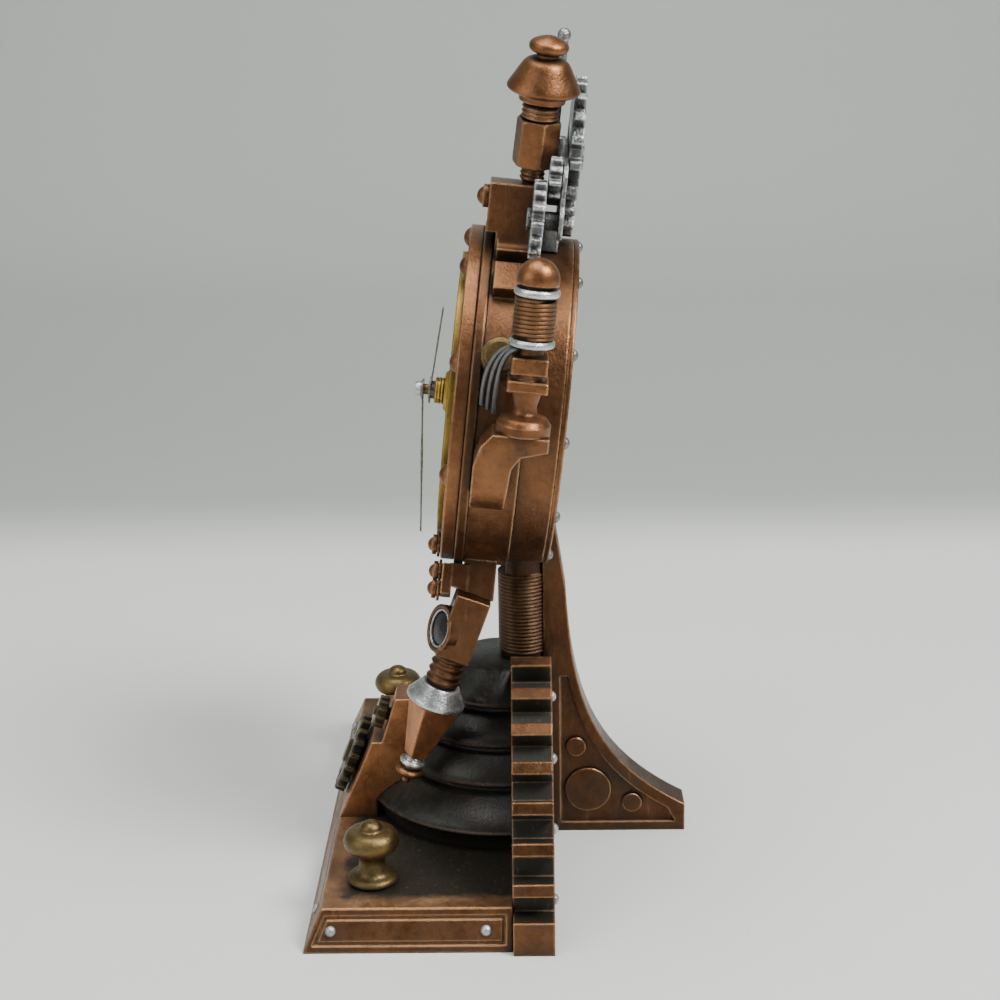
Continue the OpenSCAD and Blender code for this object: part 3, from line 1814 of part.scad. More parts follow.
module hand_nut() {
    color("#b4b8ba")
    in_case()
        translate([0, 0, -(minute_hand_at - hand_t - 0.05)])
            difference() {
                cylinder(r1 = 2.4, r2 = 1.9, h = 1.9);
                translate([0, 0, -cut]) cylinder(r = minute_r + 0.02, h = cut - (arbor_front - minute_hand_at) + seat);
            }
}

base_plate();
base_rivets();
half_gear();
gear_rivets();
dome_disc_lower();
dome_disc_middle();
dome_disc_upper();
dome_cap();
column();
tie_bolt();
rear_leg();
leg_studs();
knob_left();
knob_right();
console();
console_gear_large();
console_gear_small();
case_drum();
case_frame();
seam_ring();
bezel();
dial();
rear_cover();
cover_rivets();
lug_screw();
rosette_screws();
finial_rod();
finial_nut();
finial_bell();
train_gear_large();
train_gear_middle();
train_gear_small();
gear_bridge();
gear_arbors();
spindle();
side_arm();
coil_post();
coil_rings();
coil_wire();
coil_ball();
lead_wires();
side_boss();
strut_arm();
nozzle_collar();
nozzle_body();
nozzle_tip();
movement_case();
movement_back();
battery();
motor_coil();
circuit_board();
bushing();
dial_nut();
minute_arbor();
hour_tube();
motion_wheel();
setting_knob();
hour_hand();
minute_hand();
hand_nut();
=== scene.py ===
import json
import math

import bmesh
import bpy
from bpy.props import FloatProperty, FloatVectorProperty, IntProperty, PointerProperty
from mathutils import Matrix, Vector


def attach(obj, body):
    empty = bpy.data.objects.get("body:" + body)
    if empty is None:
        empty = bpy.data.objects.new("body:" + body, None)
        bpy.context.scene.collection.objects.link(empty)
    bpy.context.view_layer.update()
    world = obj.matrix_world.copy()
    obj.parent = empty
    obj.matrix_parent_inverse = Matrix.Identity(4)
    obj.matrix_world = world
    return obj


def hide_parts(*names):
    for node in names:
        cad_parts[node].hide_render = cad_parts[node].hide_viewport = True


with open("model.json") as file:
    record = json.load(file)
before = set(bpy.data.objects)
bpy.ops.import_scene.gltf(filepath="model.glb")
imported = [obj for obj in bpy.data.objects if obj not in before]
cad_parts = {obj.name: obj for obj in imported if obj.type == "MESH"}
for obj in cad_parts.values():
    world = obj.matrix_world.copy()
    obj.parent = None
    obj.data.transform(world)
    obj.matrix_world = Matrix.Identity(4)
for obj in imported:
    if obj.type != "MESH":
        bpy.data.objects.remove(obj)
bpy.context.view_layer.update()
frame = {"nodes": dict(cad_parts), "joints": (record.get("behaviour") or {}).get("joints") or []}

bl_info = {
    "name": "Desk clock dressing",
    "version": (1, 0, 0),
    "blender": (4, 5, 0),
    "location": "View3D > Sidebar > Clock",
    "description": "Finishes and fine pieces of an ornamental desk clock, around its packed solids",
    "category": "Object",
}

MM = 0.001
HINGE = frame["joints"][0]
PIVOT = Vector(HINGE["pos_m"])
REAR = Vector(HINGE["axis"]).normalized()

# Sizes and places below are in millimetres and degrees, unless a comment says metres.

# Stand, in the part's frame
BASE_TOP = 12.0
GEAR_FRONT = 2.55
GEAR_TIP_R = 78.4
DOME_Y = -0.95
# Name, radius, top radius, height and rim height of each dark disc, from the base up
DISCS = (
    ("dome_disc_lower", 41.8, 32, 14, 5.8),
    ("dome_disc_middle", 33, 27.5, 10.5, 3.2),
    ("dome_disc_upper", 28.5, 20, 9.5, 3.2),
    ("dome_cap", 21, 13, 12, 3.2),
)
KNOB_R = 7.9
KNOB_H = 18.6
KNOB_FOOT_R = 2.0
KNOB_SINK = 6
KNOB_X = 57
KNOB_Y = -37.25

# Case, in the frame of the case
POST_AT = (61, 6, -19.5)
FINIAL_AT = (14, 64.4, -16)
FINIAL_OUT = 10.5
FINIAL_BACK = 1.5
STRUT_AT = (28.956, -51.5, -11.4)
STRUT_LEAN = 159.8
FRAME_R = 49.4
FRAME_FRONT = 7.2
LOWER_LUG = -64
# Distance from the axis and depth of each petal washer
ROSETTES = ((45.4, 0.5), (53.1, 1.5), (58.1, 1.5))

# Bell of the finial, along the finial's axis
ROD_R = 3.5
BELL_R = 10.0
BELL_LOW = 23.2
BELL_TOP = 34.7
BALL_R = 5.4
BORE_H = 4

# Nozzle tip and cup, in the frame of the strut
TIP_AT = (0, 0, 53.9)
TIP_NECK_R = 2.6
TIP_RING_H = 2.8
TIP_BEAD_LOW = 2.82
CUP_AT = (0, 3.4, 12.9)
CUP_TURN = 25
CUP_FLOOR = 2.02

# Dial and movement, in the frame of the case
FIGURES = "XII I II III IIII V VI VII VIII IX X XI".split()
FIGURE_AT = (0, 29.5, 1.3)
STROKE_AT = (0, 36.7, 1.25)
STROKE_LONG = 2.6
STROKE_HIGH = 0.24
TRACK_RADII = (35.1, 38.1)
TRACK_WIDE = 0.3
SETTING_AT = (22, 0, -22.7)
KNURLS = 24
KNURL_R = 5.45
KNURL_BAR = (0.5, 0.7, 4.6)
# Middle, width and height of each bar that frames the cell door
DOOR_BARS = (
    (0, -8.74, 52, 0.7), (0, -24.104, 52, 0.7), (-23.92, -16.468, 0.7, 17), (23.92, -16.468, 0.7, 17),
)
DOOR_Z = -19.0
DOOR_RELIEF = 0.5
DOOR_RIBS = 6

# Winding on the side post, and leads
RING_TOP = 25
RINGS_APART = 11.16
WINDING_BORE_R = 4.48
WINDING_GAP = 0.03
PER_TURN = 48
TUCK_STEPS = 4
TUCK = 0.3
LEAD_TOP = 29
LEAD_PITCH = 1.7
LEAD_START_Z = -16
LEAD_FOOT_Y = 8.5
LEAD_STEPS = 20

# Mesh making; the weld distances are in metres
SEGMENTS_LARGE = 128
SEGMENTS_MIDDLE = 72
SEGMENTS_SMALL = 48
CURVE_STEPS = 5
SLOPE_STEPS = 12
PETAL_POINTS = 8
WELD = 1e-7
CAD_WELD = 1e-6
FLAT_ANGLE = 0.5
EDGE_ANGLE = 32

# Noise of the metal: scale, detail and sometimes roughness
CLOUD = (110, 4)
BROAD = (38, 3)
SPECK = (430, 5, 0.7)
FLECK = (1500, 2)
STROKES = (700, 3)
STROKE_TURN = (0.4, 0.3, 0.7)
STROKE_STRETCH = (1, 1, 0.12)
SHADER_SAMPLES = 4
# Ranges over which a mask of the metal goes from none to full
EDGE_TURN = (0.008, 0.09)
EDGE_OPEN = (0.45, 0.8)
STROKE_BARE = (0.6, 0.8)
# RECESS_OPEN shapes the painted shade in recesses and between parts
RECESS_OPEN = (0.3, 0.92)
BROAD_STAIN = (0.5, 0.8)
SPECK_STAIN = (0.56, 0.76)
BLEND_STAIN = (0.62, 0.8)
CLOUD_TONE = (0.3, 0.7)
SPECK_TONE = (0.25, 0.75)

# Stage, in metres; each lamp has a name, place, aim, size and power
FLOOR_NEAR = 1.6
FLOOR_BACK = -0.9
FLOOR_BEND = 0.5
FLOOR_HIGH = 2.2
FLOOR_HALF = 2.2
BEND_STEPS = 12
SKY = (0.80, 0.84, 0.82, 1)
SKY_STRENGTH = 0.36
LAMPS = (
    ("key", (0.40, 0.70, 1.05), (0, 0, 0.12), 0.45, 21),
    ("top", (0.05, -0.10, 1.30), (0, 0, 0.1), 0.8, 12.5),
    ("fill", (0.60, -0.80, 0.60), (0, 0, 0.12), 0.7, 4),
)
CAMERA_AT = (0.5139, 0.00835, 0.2655)
CAMERA_YAW = 0.97
CAMERA_PITCH = 17.13
CAMERA_ROLL = 0.93
SENSOR = 36
FOCAL_LENGTH = 64.8


def case_place():
    """Matrix of the case: X to the right, Y up the dial, Z out of the dial, in metres."""
    across = Vector((1, 0, 0))
    front = -REAR
    up = front.cross(across)
    turn = Matrix((across, up, front)).transposed().to_4x4()
    return Matrix.Translation(PIVOT) @ turn


def moved(x, y, z):
    """Shift by millimetres."""
    return Matrix.Translation(Vector((x, y, z)) * MM)


def turned(degrees, axis):
    return Matrix.Rotation(math.radians(degrees), 4, axis)


CASE = case_place()
POST = CASE @ moved(*POST_AT) @ turned(-90, "X")
FINIAL = CASE @ moved(*FINIAL_AT) @ turned(-FINIAL_OUT, "Z") @ turned(-90 - FINIAL_BACK, "X")
STRUT = Matrix.Translation(CASE @ (Vector(STRUT_AT) * MM)) @ turned(STRUT_LEAN, "X")


def swatch(name, text, colour):
    return FloatVectorProperty(
        name=name, description=text, default=colour, size=3, subtype="COLOR", min=0, max=1
    )


def length(name, text, value):
    return FloatProperty(name=name, description=text, default=value, unit="LENGTH", min=0)


class ClockColours(bpy.types.PropertyGroup):
    """Colours of the clock's finishes"""

    copper: swatch("Copper", "Antique copper of the bezel, console and finial", (0.205, 0.087, 0.036))
    copper_worn: swatch("Worn copper", "Copper where the paint is rubbed bright", (0.62, 0.335, 0.165))
    bronze: swatch("Bronze", "Darker copper of the base, leg and case", (0.142, 0.062, 0.027))
    # Green-black patina, also used as painted shade in recesses and between parts
    patina_and_shade: swatch("Patina", "Green-black in recesses and on the base top", (0.012, 0.013, 0.009))
    gunmetal: swatch("Gunmetal", "Dark turned discs", (0.017, 0.0165, 0.013))
    brass: swatch("Antique brass", "Knobs and boss", (0.145, 0.098, 0.038))
    gold: swatch("Gold", "Dial", (0.60, 0.38, 0.065))
    silver: swatch("Silver", "Small wheels, rivets and rings", (0.46, 0.47, 0.47))
    ink: swatch("Dial ink", "Figures on the dial", (0.035, 0.025, 0.016))
    floor: swatch("Floor", "Pale studio floor", (0.66, 0.67, 0.645))
    # Painted shade of the one floor sheet: darker just behind the clock, lighter again where it rises
    backdrop: swatch("Backdrop", "Greyer cloth behind the floor", (0.33, 0.356, 0.33))
    backdrop_far: swatch("Far backdrop", "The same cloth where it rises", (0.525, 0.548, 0.52))


class ClockSizes(bpy.types.PropertyGroup):
    """Sizes of the fine pieces, in metres"""

    edge: length("Rubbed edge", "Width of the bright edges", 0.0009)
    # recess is the depth of the painted shade in recesses
    recess: length("Recess", "Depth over which recesses darken", 0.007)
    wire: length("Wire", "Diameter of the wire of the winding", 0.0011)
    lead: length("Lead", "Diameter of the grey leads", 0.0013)
    turns: IntProperty(name="Turns", description="Turns of the winding", default=9, min=1)
    figure: length("Figure height", "Height of the dial's figures", 0.0078)


def settings():
    scene = bpy.context.scene
    return scene.clock_colours, scene.clock_sizes


class Wire:
    """A shader socket that takes part in Python expressions."""

    def __init__(self, paint, socket):
        self.paint = paint
        self.socket = socket

    def math(self, operation, other, swap=False, clamp=False):
        first, second = (other, self) if swap else (self, other)
        return self.paint.node(
            "ShaderNodeMath", {"operation": operation, "use_clamp": clamp}, {0: first, 1: second}
        )

    def __add__(self, other):
        return self.math("ADD", other)

    def __radd__(self, other):
        return self.math("ADD", other, swap=True)

    def __sub__(self, other):
        return self.math("SUBTRACT", other)

    def __rsub__(self, other):
        return self.math("SUBTRACT", other, swap=True)

    def __mul__(self, other):
        return self.math("MULTIPLY", other)

    def __rmul__(self, other):
        return self.math("MULTIPLY", other, swap=True)

    def clamped(self):
        return self.math("ADD", 0.0, clamp=True)

    def between(self, low, high):
        """0 below low, 1 above high, smooth between."""
        return self.paint.node(
            "ShaderNodeMapRange",
            {"interpolation_type": "SMOOTHSTEP"},
            {"Value": self, "From Min": low, "From Max": high},
        )


class Paint:
    """A node material under construction."""

    def __init__(self, name):
        self.material = bpy.data.materials.new(name)
        self.material.use_nodes = True
        self.tree = self.material.node_tree
        self.tree.nodes.clear()

    def node(self, kind, options=None, sockets=None, out=0):
        made = self.tree.nodes.new(kind)
        for key, value in (options or {}).items():
            setattr(made, key, value)
        for key, value in (sockets or {}).items():
            if isinstance(value, Wire):
                self.tree.links.new(value.socket, made.inputs[key])
            else:
                made.inputs[key].default_value = value
        return Wire(self, made.outputs[out]) if made.outputs else None

    def place(self, turn=(0, 0, 0), scale=(1, 1, 1)):
        """Object coordinates, turned and scaled."""
        at = self.node("ShaderNodeTexCoord", out="Object")
        return self.node("ShaderNodeMapping", None, {"Vector": at, "Rotation": turn, "Scale": scale})

    def noise(self, at, scale, detail, rough=0.55):
        return self.node(
            "ShaderNodeTexNoise", None, {"Vector": at, "Scale": scale, "Detail": detail, "Roughness": rough}
        )

    def mix(self, first, second, share):
        return self.node("ShaderNodeMix", {"data_type": "RGBA"}, {0: share, 6: first, 7: second}, out=2)

    def part_of(self, vector, axis):
        return self.node("ShaderNodeSeparateXYZ", None, {"Vector": vector}, out=axis)

    def facing(self):
        return self.node("ShaderNodeNewGeometry", out="Normal")

    def rounded(self, radius):
        """Normal as if edges were rounded."""
        return self.node("ShaderNodeBevel", {"samples": SHADER_SAMPLES}, {"Radius": radius})

    def openness(self, distance):
        """1 where nothing is near, less in recesses."""
        return self.node(
            "ShaderNodeAmbientOcclusion", {"samples": SHADER_SAMPLES}, {"Distance": distance}, out="AO"
        )

    def dot(self, first, second):
        return self.node(
            "ShaderNodeVectorMath", {"operation": "DOT_PRODUCT"}, {0: first, 1: second}, out="Value"
        )

    def finish(self, colour, roughness, metallic, height, depth, strength, normal=None):
        """Closes the material with a principled shader and a bump of the given depth (metres)."""
        sockets = {"Height": height, "Distance": depth, "Strength": strength}
        if normal is not None:
            sockets["Normal"] = normal
        bump = self.node("ShaderNodeBump", None, sockets)
        shader = self.node(
            "ShaderNodeBsdfPrincipled",
            None,
            {"Base Color": colour, "Roughness": roughness, "Metallic": metallic, "Normal": bump},
        )
        self.node("ShaderNodeOutputMaterial", None, {"Surface": shader})
        return self.material


def rgba(colour):
    return (*colour, 1.0)


def shade(colour, factor):
    """The colour made brighter or darker, with its hue kept."""
    return tuple(min(c * factor, 1.0) for c in colour)


def aged_metal(
    name, tone, worn, rough=0.36, metal=0.9, wear=1.0, stain_and_shade_amount=1.0, relief=1.1, extra=None, rub=None
):
    """Painted metal: mottled tone, rubbed edges, and stains with patina and painted shade in recesses; extra
    and rub add a dark and a bright mask.
    """
    tint, size = settings()
    p = Paint(name)
    at = p.place()
    cloud = p.noise(at, *CLOUD)
    broad = p.noise(at, *BROAD)
    speck = p.noise(at, *SPECK)
    fleck = p.noise(at, *FLECK)
    strokes = p.noise(p.place(STROKE_TURN, STROKE_STRETCH), *STROKES)
    round_normal = p.rounded(size.edge)
    turn = 1 - p.dot(p.facing(), round_normal)
    open_air = p.openness(size.recess)
    rim = turn.between(*EDGE_TURN) * open_air.between(*EDGE_OPEN)
    bare = rim * (0.25 + 1.3 * speck) * wear + strokes.between(*STROKE_BARE) * 0.16 * wear
    if rub:
        bare = bare + rub(p, at, cloud, broad)
    bare = bare.clamped()
    # Painted shade in recesses and where parts meet, from the occlusion, plus patina and random stains
    stain_and_shade_mask = (1 - open_air.between(*RECESS_OPEN)) * (0.55 + cloud) + broad.between(*BROAD_STAIN) * 0.22
    stain_and_shade_mask = stain_and_shade_mask + speck.between(*SPECK_STAIN) * 0.35
    stain_and_shade_mask = stain_and_shade_mask + (broad * 0.7 + speck * 0.5).between(*BLEND_STAIN) * 0.45
    if extra:
        stain_and_shade_mask = stain_and_shade_mask + extra(p, at, cloud, broad)
    stain_and_shade_mask = (stain_and_shade_mask * stain_and_shade_amount).clamped()
    mottle = cloud.between(*CLOUD_TONE) * 0.5 + speck.between(*SPECK_TONE) * 0.5
    body = p.mix(rgba(shade(tone, 0.55)), rgba(shade(tone, 1.4)), mottle)
    body = p.mix(body, rgba(tint.patina_and_shade), stain_and_shade_mask * 0.95)
    body = p.mix(body, rgba(worn), bare * 0.9)
    roughness = rough + (fleck - 0.5) * 0.25 + (speck - 0.5) * 0.2 + stain_and_shade_mask * 0.18 - bare * 0.1
    metallic = (metal - stain_and_shade_mask * 0.45).clamped()
    height = fleck * 0.5 + strokes * 0.25 + speck * 0.3
    return p.finish(body, roughness.clamped(), metallic, height, 0.0003 * relief, 0.5, round_normal)


def plain_mould(name, tone, rough=0.45):
    """Moulded plastic with a fine spark-eroded grain."""
    p = Paint(name)
    at = p.place()
    grain = p.noise(at, 2600, 2)
    cloud = p.noise(at, 150, 3)
    body = p.mix(rgba(shade(tone, 0.75)), rgba(shade(tone, 1.15)), cloud)
    roughness = (rough + (grain - 0.5) * 0.2 + (cloud - 0.5) * 0.1).clamped()
    return p.finish(body, roughness, 0.0, grain, 0.00008, 0.3, p.rounded(settings()[1].edge))


def top_patina(name):
    """Dark patina on the top face of a node, rubbed to bright metal towards the face's border."""
    points = [vertex.co for vertex in frame["nodes"][name].data.vertices]
    high = max(point.z for point in points)
    face = [point for point in points if point.z > high - 0.1 * MM]
    left, right = min(point.x for point in face), max(point.x for point in face)
    front = min(point.y for point in face)
    border = (1 * MM, 8 * MM)
    waver = 12 * MM

    def zone(p, at, cloud):
        upward = p.part_of(p.facing(), 2).between(0.6, 0.95)
        x, y, z = (p.part_of(at, axis) for axis in range(3))
        wobble = (cloud - 0.5) * waver
        kept = (x - left + wobble).between(*border) * (right - x + wobble).between(*border)
        kept = kept * (y - front + wobble).between(*border) * z.between(high - 0.7 * MM, high - 0.3 * MM)
        return upward, kept

    def dark(p, at, cloud, broad):
        upward, kept = zone(p, at, cloud)
        return upward * kept * (0.75 + broad * 0.5)

    def rubbed(p, at, cloud, broad):
        upward, kept = zone(p, at, cloud)
        return upward * (1 - kept) * broad.between(0.3, 0.7) * 0.6

    return {"extra": dark, "rub": rubbed}


def tooth_gap_shade(tip):
    """Painted shade between the teeth of the half gear, on all that lies below their tips."""

    def mask(p, at, cloud, broad):
        flat = p.node("ShaderNodeVectorMath", {"operation": "MULTIPLY"}, {0: at, 1: (1, 0, 1)})
        radius = p.node("ShaderNodeVectorMath", {"operation": "LENGTH"}, {0: flat}, out="Value")
        across = p.part_of(p.facing(), 1)
        edgeways = 1 - (across * across).between(0.3, 0.7)
        return edgeways * (1 - radius.between(tip - 1.2 * MM, tip - 0.4 * MM)) * (0.8 + cloud * 0.5)

    return mask


def dress(nodes, material):
    """Gives CAD nodes a finish."""
    for name in nodes:
        mesh = frame["nodes"][name].data
        mesh.materials.clear()
        mesh.materials.append(material)


def smooth_by_angle(mesh, degrees):
    mesh.shade_smooth()
    mesh.set_sharp_from_angle(angle=math.radians(degrees))


def piece(name, shape, material, body="stand", place=Matrix(), replaces=(), angle=35):
    """Makes an object of a bmesh, puts its place in its mesh and hangs it on its body."""
    bmesh.ops.transform(shape, matrix=place, verts=shape.verts)
    bmesh.ops.remove_doubles(shape, verts=shape.verts, dist=WELD)
    bmesh.ops.recalc_face_normals(shape, faces=shape.faces)
    mesh = bpy.data.meshes.new(name)
    shape.to_mesh(mesh)
    shape.free()
    return settle(name, mesh, material, replaces, angle, body)


def settle(name, mesh, material, replaces, angle, body="stand"):
    """Makes an object of a mesh and hangs it on its body."""
    mesh.materials.clear()
    mesh.materials.append(material)
    smooth_by_angle(mesh, angle)
    made = bpy.data.objects.new(name, mesh)
    bpy.context.scene.collection.objects.link(made)
    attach(made, body)
    if replaces:
        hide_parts(*replaces)
    return made


def curve_through(points):
    """Smooth curve through (radius, height) points; a point given twice makes a corner."""
    padded = [points[0], *points, points[-1]]
    line = []
    for p0, p1, p2, p3 in zip(padded, padded[1:], padded[2:], padded[3:]):
        if p1 == p2:
            continue
        for f in [k / CURVE_STEPS for k in range(CURVE_STEPS)]:
            line.append(tuple(
                0.5 * (
                    2 * b + (c - a) * f + (2 * a - 5 * b + 4 * c - d) * f**2
                    + (3 * b - a - 3 * c + d) * f**3
                )
                for a, b, c, d in zip(p0, p1, p2, p3)
            ))
    return [*line, points[-1]]


def lathe(profile, steps):
    """Turned shape about Z from (radius, height) points in millimetres."""
    shape = bmesh.new()
    ring = [shape.verts.new((r * MM, 0, z * MM)) for r, z in profile]
    lines = [shape.edges.new(pair) for pair in zip(ring, ring[1:])]
    bmesh.ops.spin(
        shape, geom=ring + lines, cent=(0, 0, 0), axis=(0, 0, 1), angle=math.tau, steps=steps, use_merge=True
    )
    bmesh.ops.remove_doubles(shape, verts=shape.verts, dist=WELD)
    return shape


def cut_behind(shape, y):
    """Removes what lies behind a plane across Y and closes the cut."""
    geometry = shape.verts[:] + shape.edges[:] + shape.faces[:]
    bmesh.ops.bisect_plane(shape, geom=geometry, plane_co=(0, y, 0), plane_no=(0, 1, 0), clear_outer=True)
    rim = [edge for edge in shape.edges if edge.is_boundary]
    bmesh.ops.contextual_create(shape, geom=rim)


def softened(nodes, radius, material, least):
    """Copies CAD nodes with their outer edges rounded; edges shorter than least stay sharp."""
    for name in nodes:
        node = frame["nodes"][name]
        shape = bmesh.new()
        shape.from_mesh(node.data)
        shape.transform(node.matrix_world)
        bmesh.ops.remove_doubles(shape, verts=shape.verts, dist=CAD_WELD)
        bmesh.ops.dissolve_limit(
            shape, angle_limit=math.radians(FLAT_ANGLE), verts=shape.verts, edges=shape.edges
        )
        edges = [
            edge for edge in shape.edges
            if edge.is_manifold and edge.is_convex and edge.calc_length() > least * MM
            and edge.calc_face_angle() > math.radians(EDGE_ANGLE)
        ]
        bmesh.ops.bevel(
            shape, geom=edges, offset=radius * MM, offset_type="OFFSET", affect="EDGES", segments=3,
            profile=0.5, clamp_overlap=True, material=-1,
        )
        made = piece(f"{name}_soft", shape, material, replaces=[name], angle=30)
        flat = made.modifiers.new("Flat faces", "WEIGHTED_NORMAL")
        flat.keep_sharp = True


def new_points(result):
    """Vertices among the geometry that an operator made."""
    return [item for item in result["geom"] if isinstance(item, bmesh.types.BMVert)]


def petal_disc(radius, wave, petals, low, high):
    """Flat disc with a wavy edge, between two heights."""
    shape = bmesh.new()
    count = petals * PETAL_POINTS
    rim = []
    for a in [math.tau * k / count for k in range(count)]:
        r = radius + wave * math.cos(petals * a)
        rim.append(shape.verts.new((r * math.cos(a) * MM, r * math.sin(a) * MM, low * MM)))
    face = shape.faces.new(rim)
    tops = new_points(bmesh.ops.extrude_face_region(shape, geom=[face]))
    bmesh.ops.translate(shape, verts=tops, vec=(0, 0, (high - low) * MM))
    return shape


def joined(shapes):
    """One bmesh of many (shape, place) pairs."""
    whole = bmesh.new()
    for shape, place in shapes:
        bmesh.ops.transform(shape, matrix=place, verts=shape.verts)
        mesh = bpy.data.meshes.new("part")
        shape.to_mesh(mesh)
        shape.free()
        whole.from_mesh(mesh)
        bpy.data.meshes.remove(mesh)
    return whole


def box(x, y, z):
    """Block of the given sides about the origin."""
    shape = bmesh.new()
    bmesh.ops.create_cube(shape, size=1, matrix=Matrix.Diagonal((x * MM, y * MM, z * MM, 1)))
    return shape


def curve_mesh(curve):
    """Mesh of a curve or text, which is then removed."""
    holder = bpy.data.objects.new(curve.name, curve)
    bpy.context.scene.collection.objects.link(holder)
    bpy.context.view_layer.update()
    shown = holder.evaluated_get(bpy.context.evaluated_depsgraph_get())
    mesh = bpy.data.meshes.new_from_object(shown)
    bpy.data.objects.remove(holder)
    bpy.data.curves.remove(curve)
    return mesh


def tube_mesh(name, path, diameter):
    """Round tube along points in metres, as a mesh."""
    curve = bpy.data.curves.new(name, "CURVE")
    curve.dimensions = "3D"
    curve.bevel_depth = diameter / 2
    curve.bevel_resolution = 4
    curve.use_fill_caps = True
    line = curve.splines.new("POLY")
    line.points.add(len(path) - 1)
    for point, place in zip(line.points, path):
        point.co = (*place, 1)
    return curve_mesh(curve)


class CLOCK_OT_stand(bpy.types.Operator):
    """Finish the base, half gear, leg and column"""

    bl_idname = "clock.stand"
    bl_label = "Stand"

    def execute(self, context):
        tint = settings()[0]
        worn = tint.copper_worn
        base = aged_metal("base bronze", tint.bronze, worn, **top_patina("base_plate"))
        softened(["base_plate"], 0.4, base, 4)
        # Painted shade on the flanks of the half gear's teeth and between them
        gap_shade = tooth_gap_shade(GEAR_TIP_R * MM)
        lands = aged_metal("half gear bronze", shade(tint.bronze, 0.8), worn, wear=0.8, extra=gap_shade)
        softened(["half_gear"], 0.7, lands, 2)
        # The leg's bronze is darkened to 0.6: partly its darker tone, partly painted shade, as the leg stands
        # in shadow
        leg = aged_metal("leg bronze", shade(tint.bronze, 0.6), worn, wear=0.8)
        softened(["rear_leg"], 0.5, leg, 2)
        dress(["leg_studs"], leg)
        dress(["column"], aged_metal("column bronze", shade(tint.bronze, 0.4), worn, wear=0.35))
        rivet = aged_metal("rivet silver", tint.silver, shade(tint.silver, 1.4), rough=0.34)
        dress(["base_rivets", "gear_rivets"], rivet)
        dress(["tie_bolt", "cover_rivets"], aged_metal("dark steel", shade(tint.silver, 0.5), tint.silver))
        return {"FINISHED"}


class CLOCK_OT_discs(bpy.types.Operator):
    """Turn the dark stepped discs in front of the half gear"""

    bl_idname = "clock.discs"
    bl_label = "Discs"

    def profile(self, r, top_r, height, rim):
        """Undercut rim, then a hollow slope up to the top."""
        under = [
            (0, 0), (r - 2.6, 0), (r - 2.6, 1.3), (r - 0.6, rim - 0.6), (r - 0.1, rim - 0.3), (r, rim),
            (r - 0.2, rim + 0.2),
        ]
        start_r, start = r - 0.6, rim + 0.3
        slope = []
        for f in [k / SLOPE_STEPS for k in range(SLOPE_STEPS + 1)]:
            slope.append((start_r - (start_r - top_r) * f**1.5, start + (height - start) * f))
        return [*under, *slope, (0, height)]

    def execute(self, context):
        tint = settings()[0]
        dark = aged_metal("disc gunmetal", tint.gunmetal, shade(tint.bronze, 0.7), metal=0.5, wear=0.8)
        floor = BASE_TOP
        for name, r, top_r, height, rim in DISCS:
            shape = lathe(self.profile(r, top_r, height, rim), SEGMENTS_LARGE)
            bmesh.ops.transform(shape, matrix=moved(0, DOME_Y, floor), verts=shape.verts)
            cut_behind(shape, GEAR_FRONT * MM)
            piece(f"{name}_turned", shape, dark, replaces=[name], angle=40)
            floor += height
        return {"FINISHED"}


class CLOCK_OT_console(bpy.types.Operator):
    """Finish the console and its wheels, and turn the brass knobs"""

    bl_idname = "clock.console"
    bl_label = "Console and knobs"

    def knob_profile(self):
        r, h, foot = KNOB_R, KNOB_H, KNOB_FOOT_R
        outline = curve_through([
            (foot, 0), (foot, 0), (r * 0.84, 0), (r * 0.84, 0), (r * 0.91, h * 0.05), (r * 0.84, h * 0.11),
            (r * 0.6, h * 0.17), (r * 0.48, h * 0.3), (r * 0.5, h * 0.42), (r * 0.68, h * 0.5),
            (r * 0.92, h * 0.58), (r, h * 0.68), (r * 0.93, h * 0.78), (r * 0.74, h * 0.85),
            (r * 0.42, h * 0.87), (r * 0.42, h * 0.87), (r * 0.36, h * 0.94), (r * 0.2, h * 0.99),
            (0, h), (0, h),
        ])
        return [(0, -KNOB_SINK), (foot, -KNOB_SINK), *outline]

    def execute(self, context):
        tint = settings()[0]
        # The console copper is a brightened copy of the copper: painted light on faces that turn away from the
        # lamps
        copper = aged_metal("console copper", shade(tint.copper, 1.6), tint.copper_worn)
        softened(["console"], 0.6, copper, 2)
        wheel = aged_metal("console wheel", shade(tint.brass, 0.4), tint.brass, metal=0.7)
        softened(["console_gear_large", "console_gear_small"], 0.25, wheel, 0.9)
        brass = aged_metal("antique brass", tint.brass, shade(tint.brass, 1.9), rough=0.4)
        dress(["side_boss"], brass)
        for name, side in (("knob_left", -1), ("knob_right", 1)):
            shape = lathe(self.knob_profile(), SEGMENTS_MIDDLE)
            place = moved(side * KNOB_X, KNOB_Y, BASE_TOP)
            piece(f"{name}_turned", shape, brass, place=place, replaces=[name])
        return {"FINISHED"}


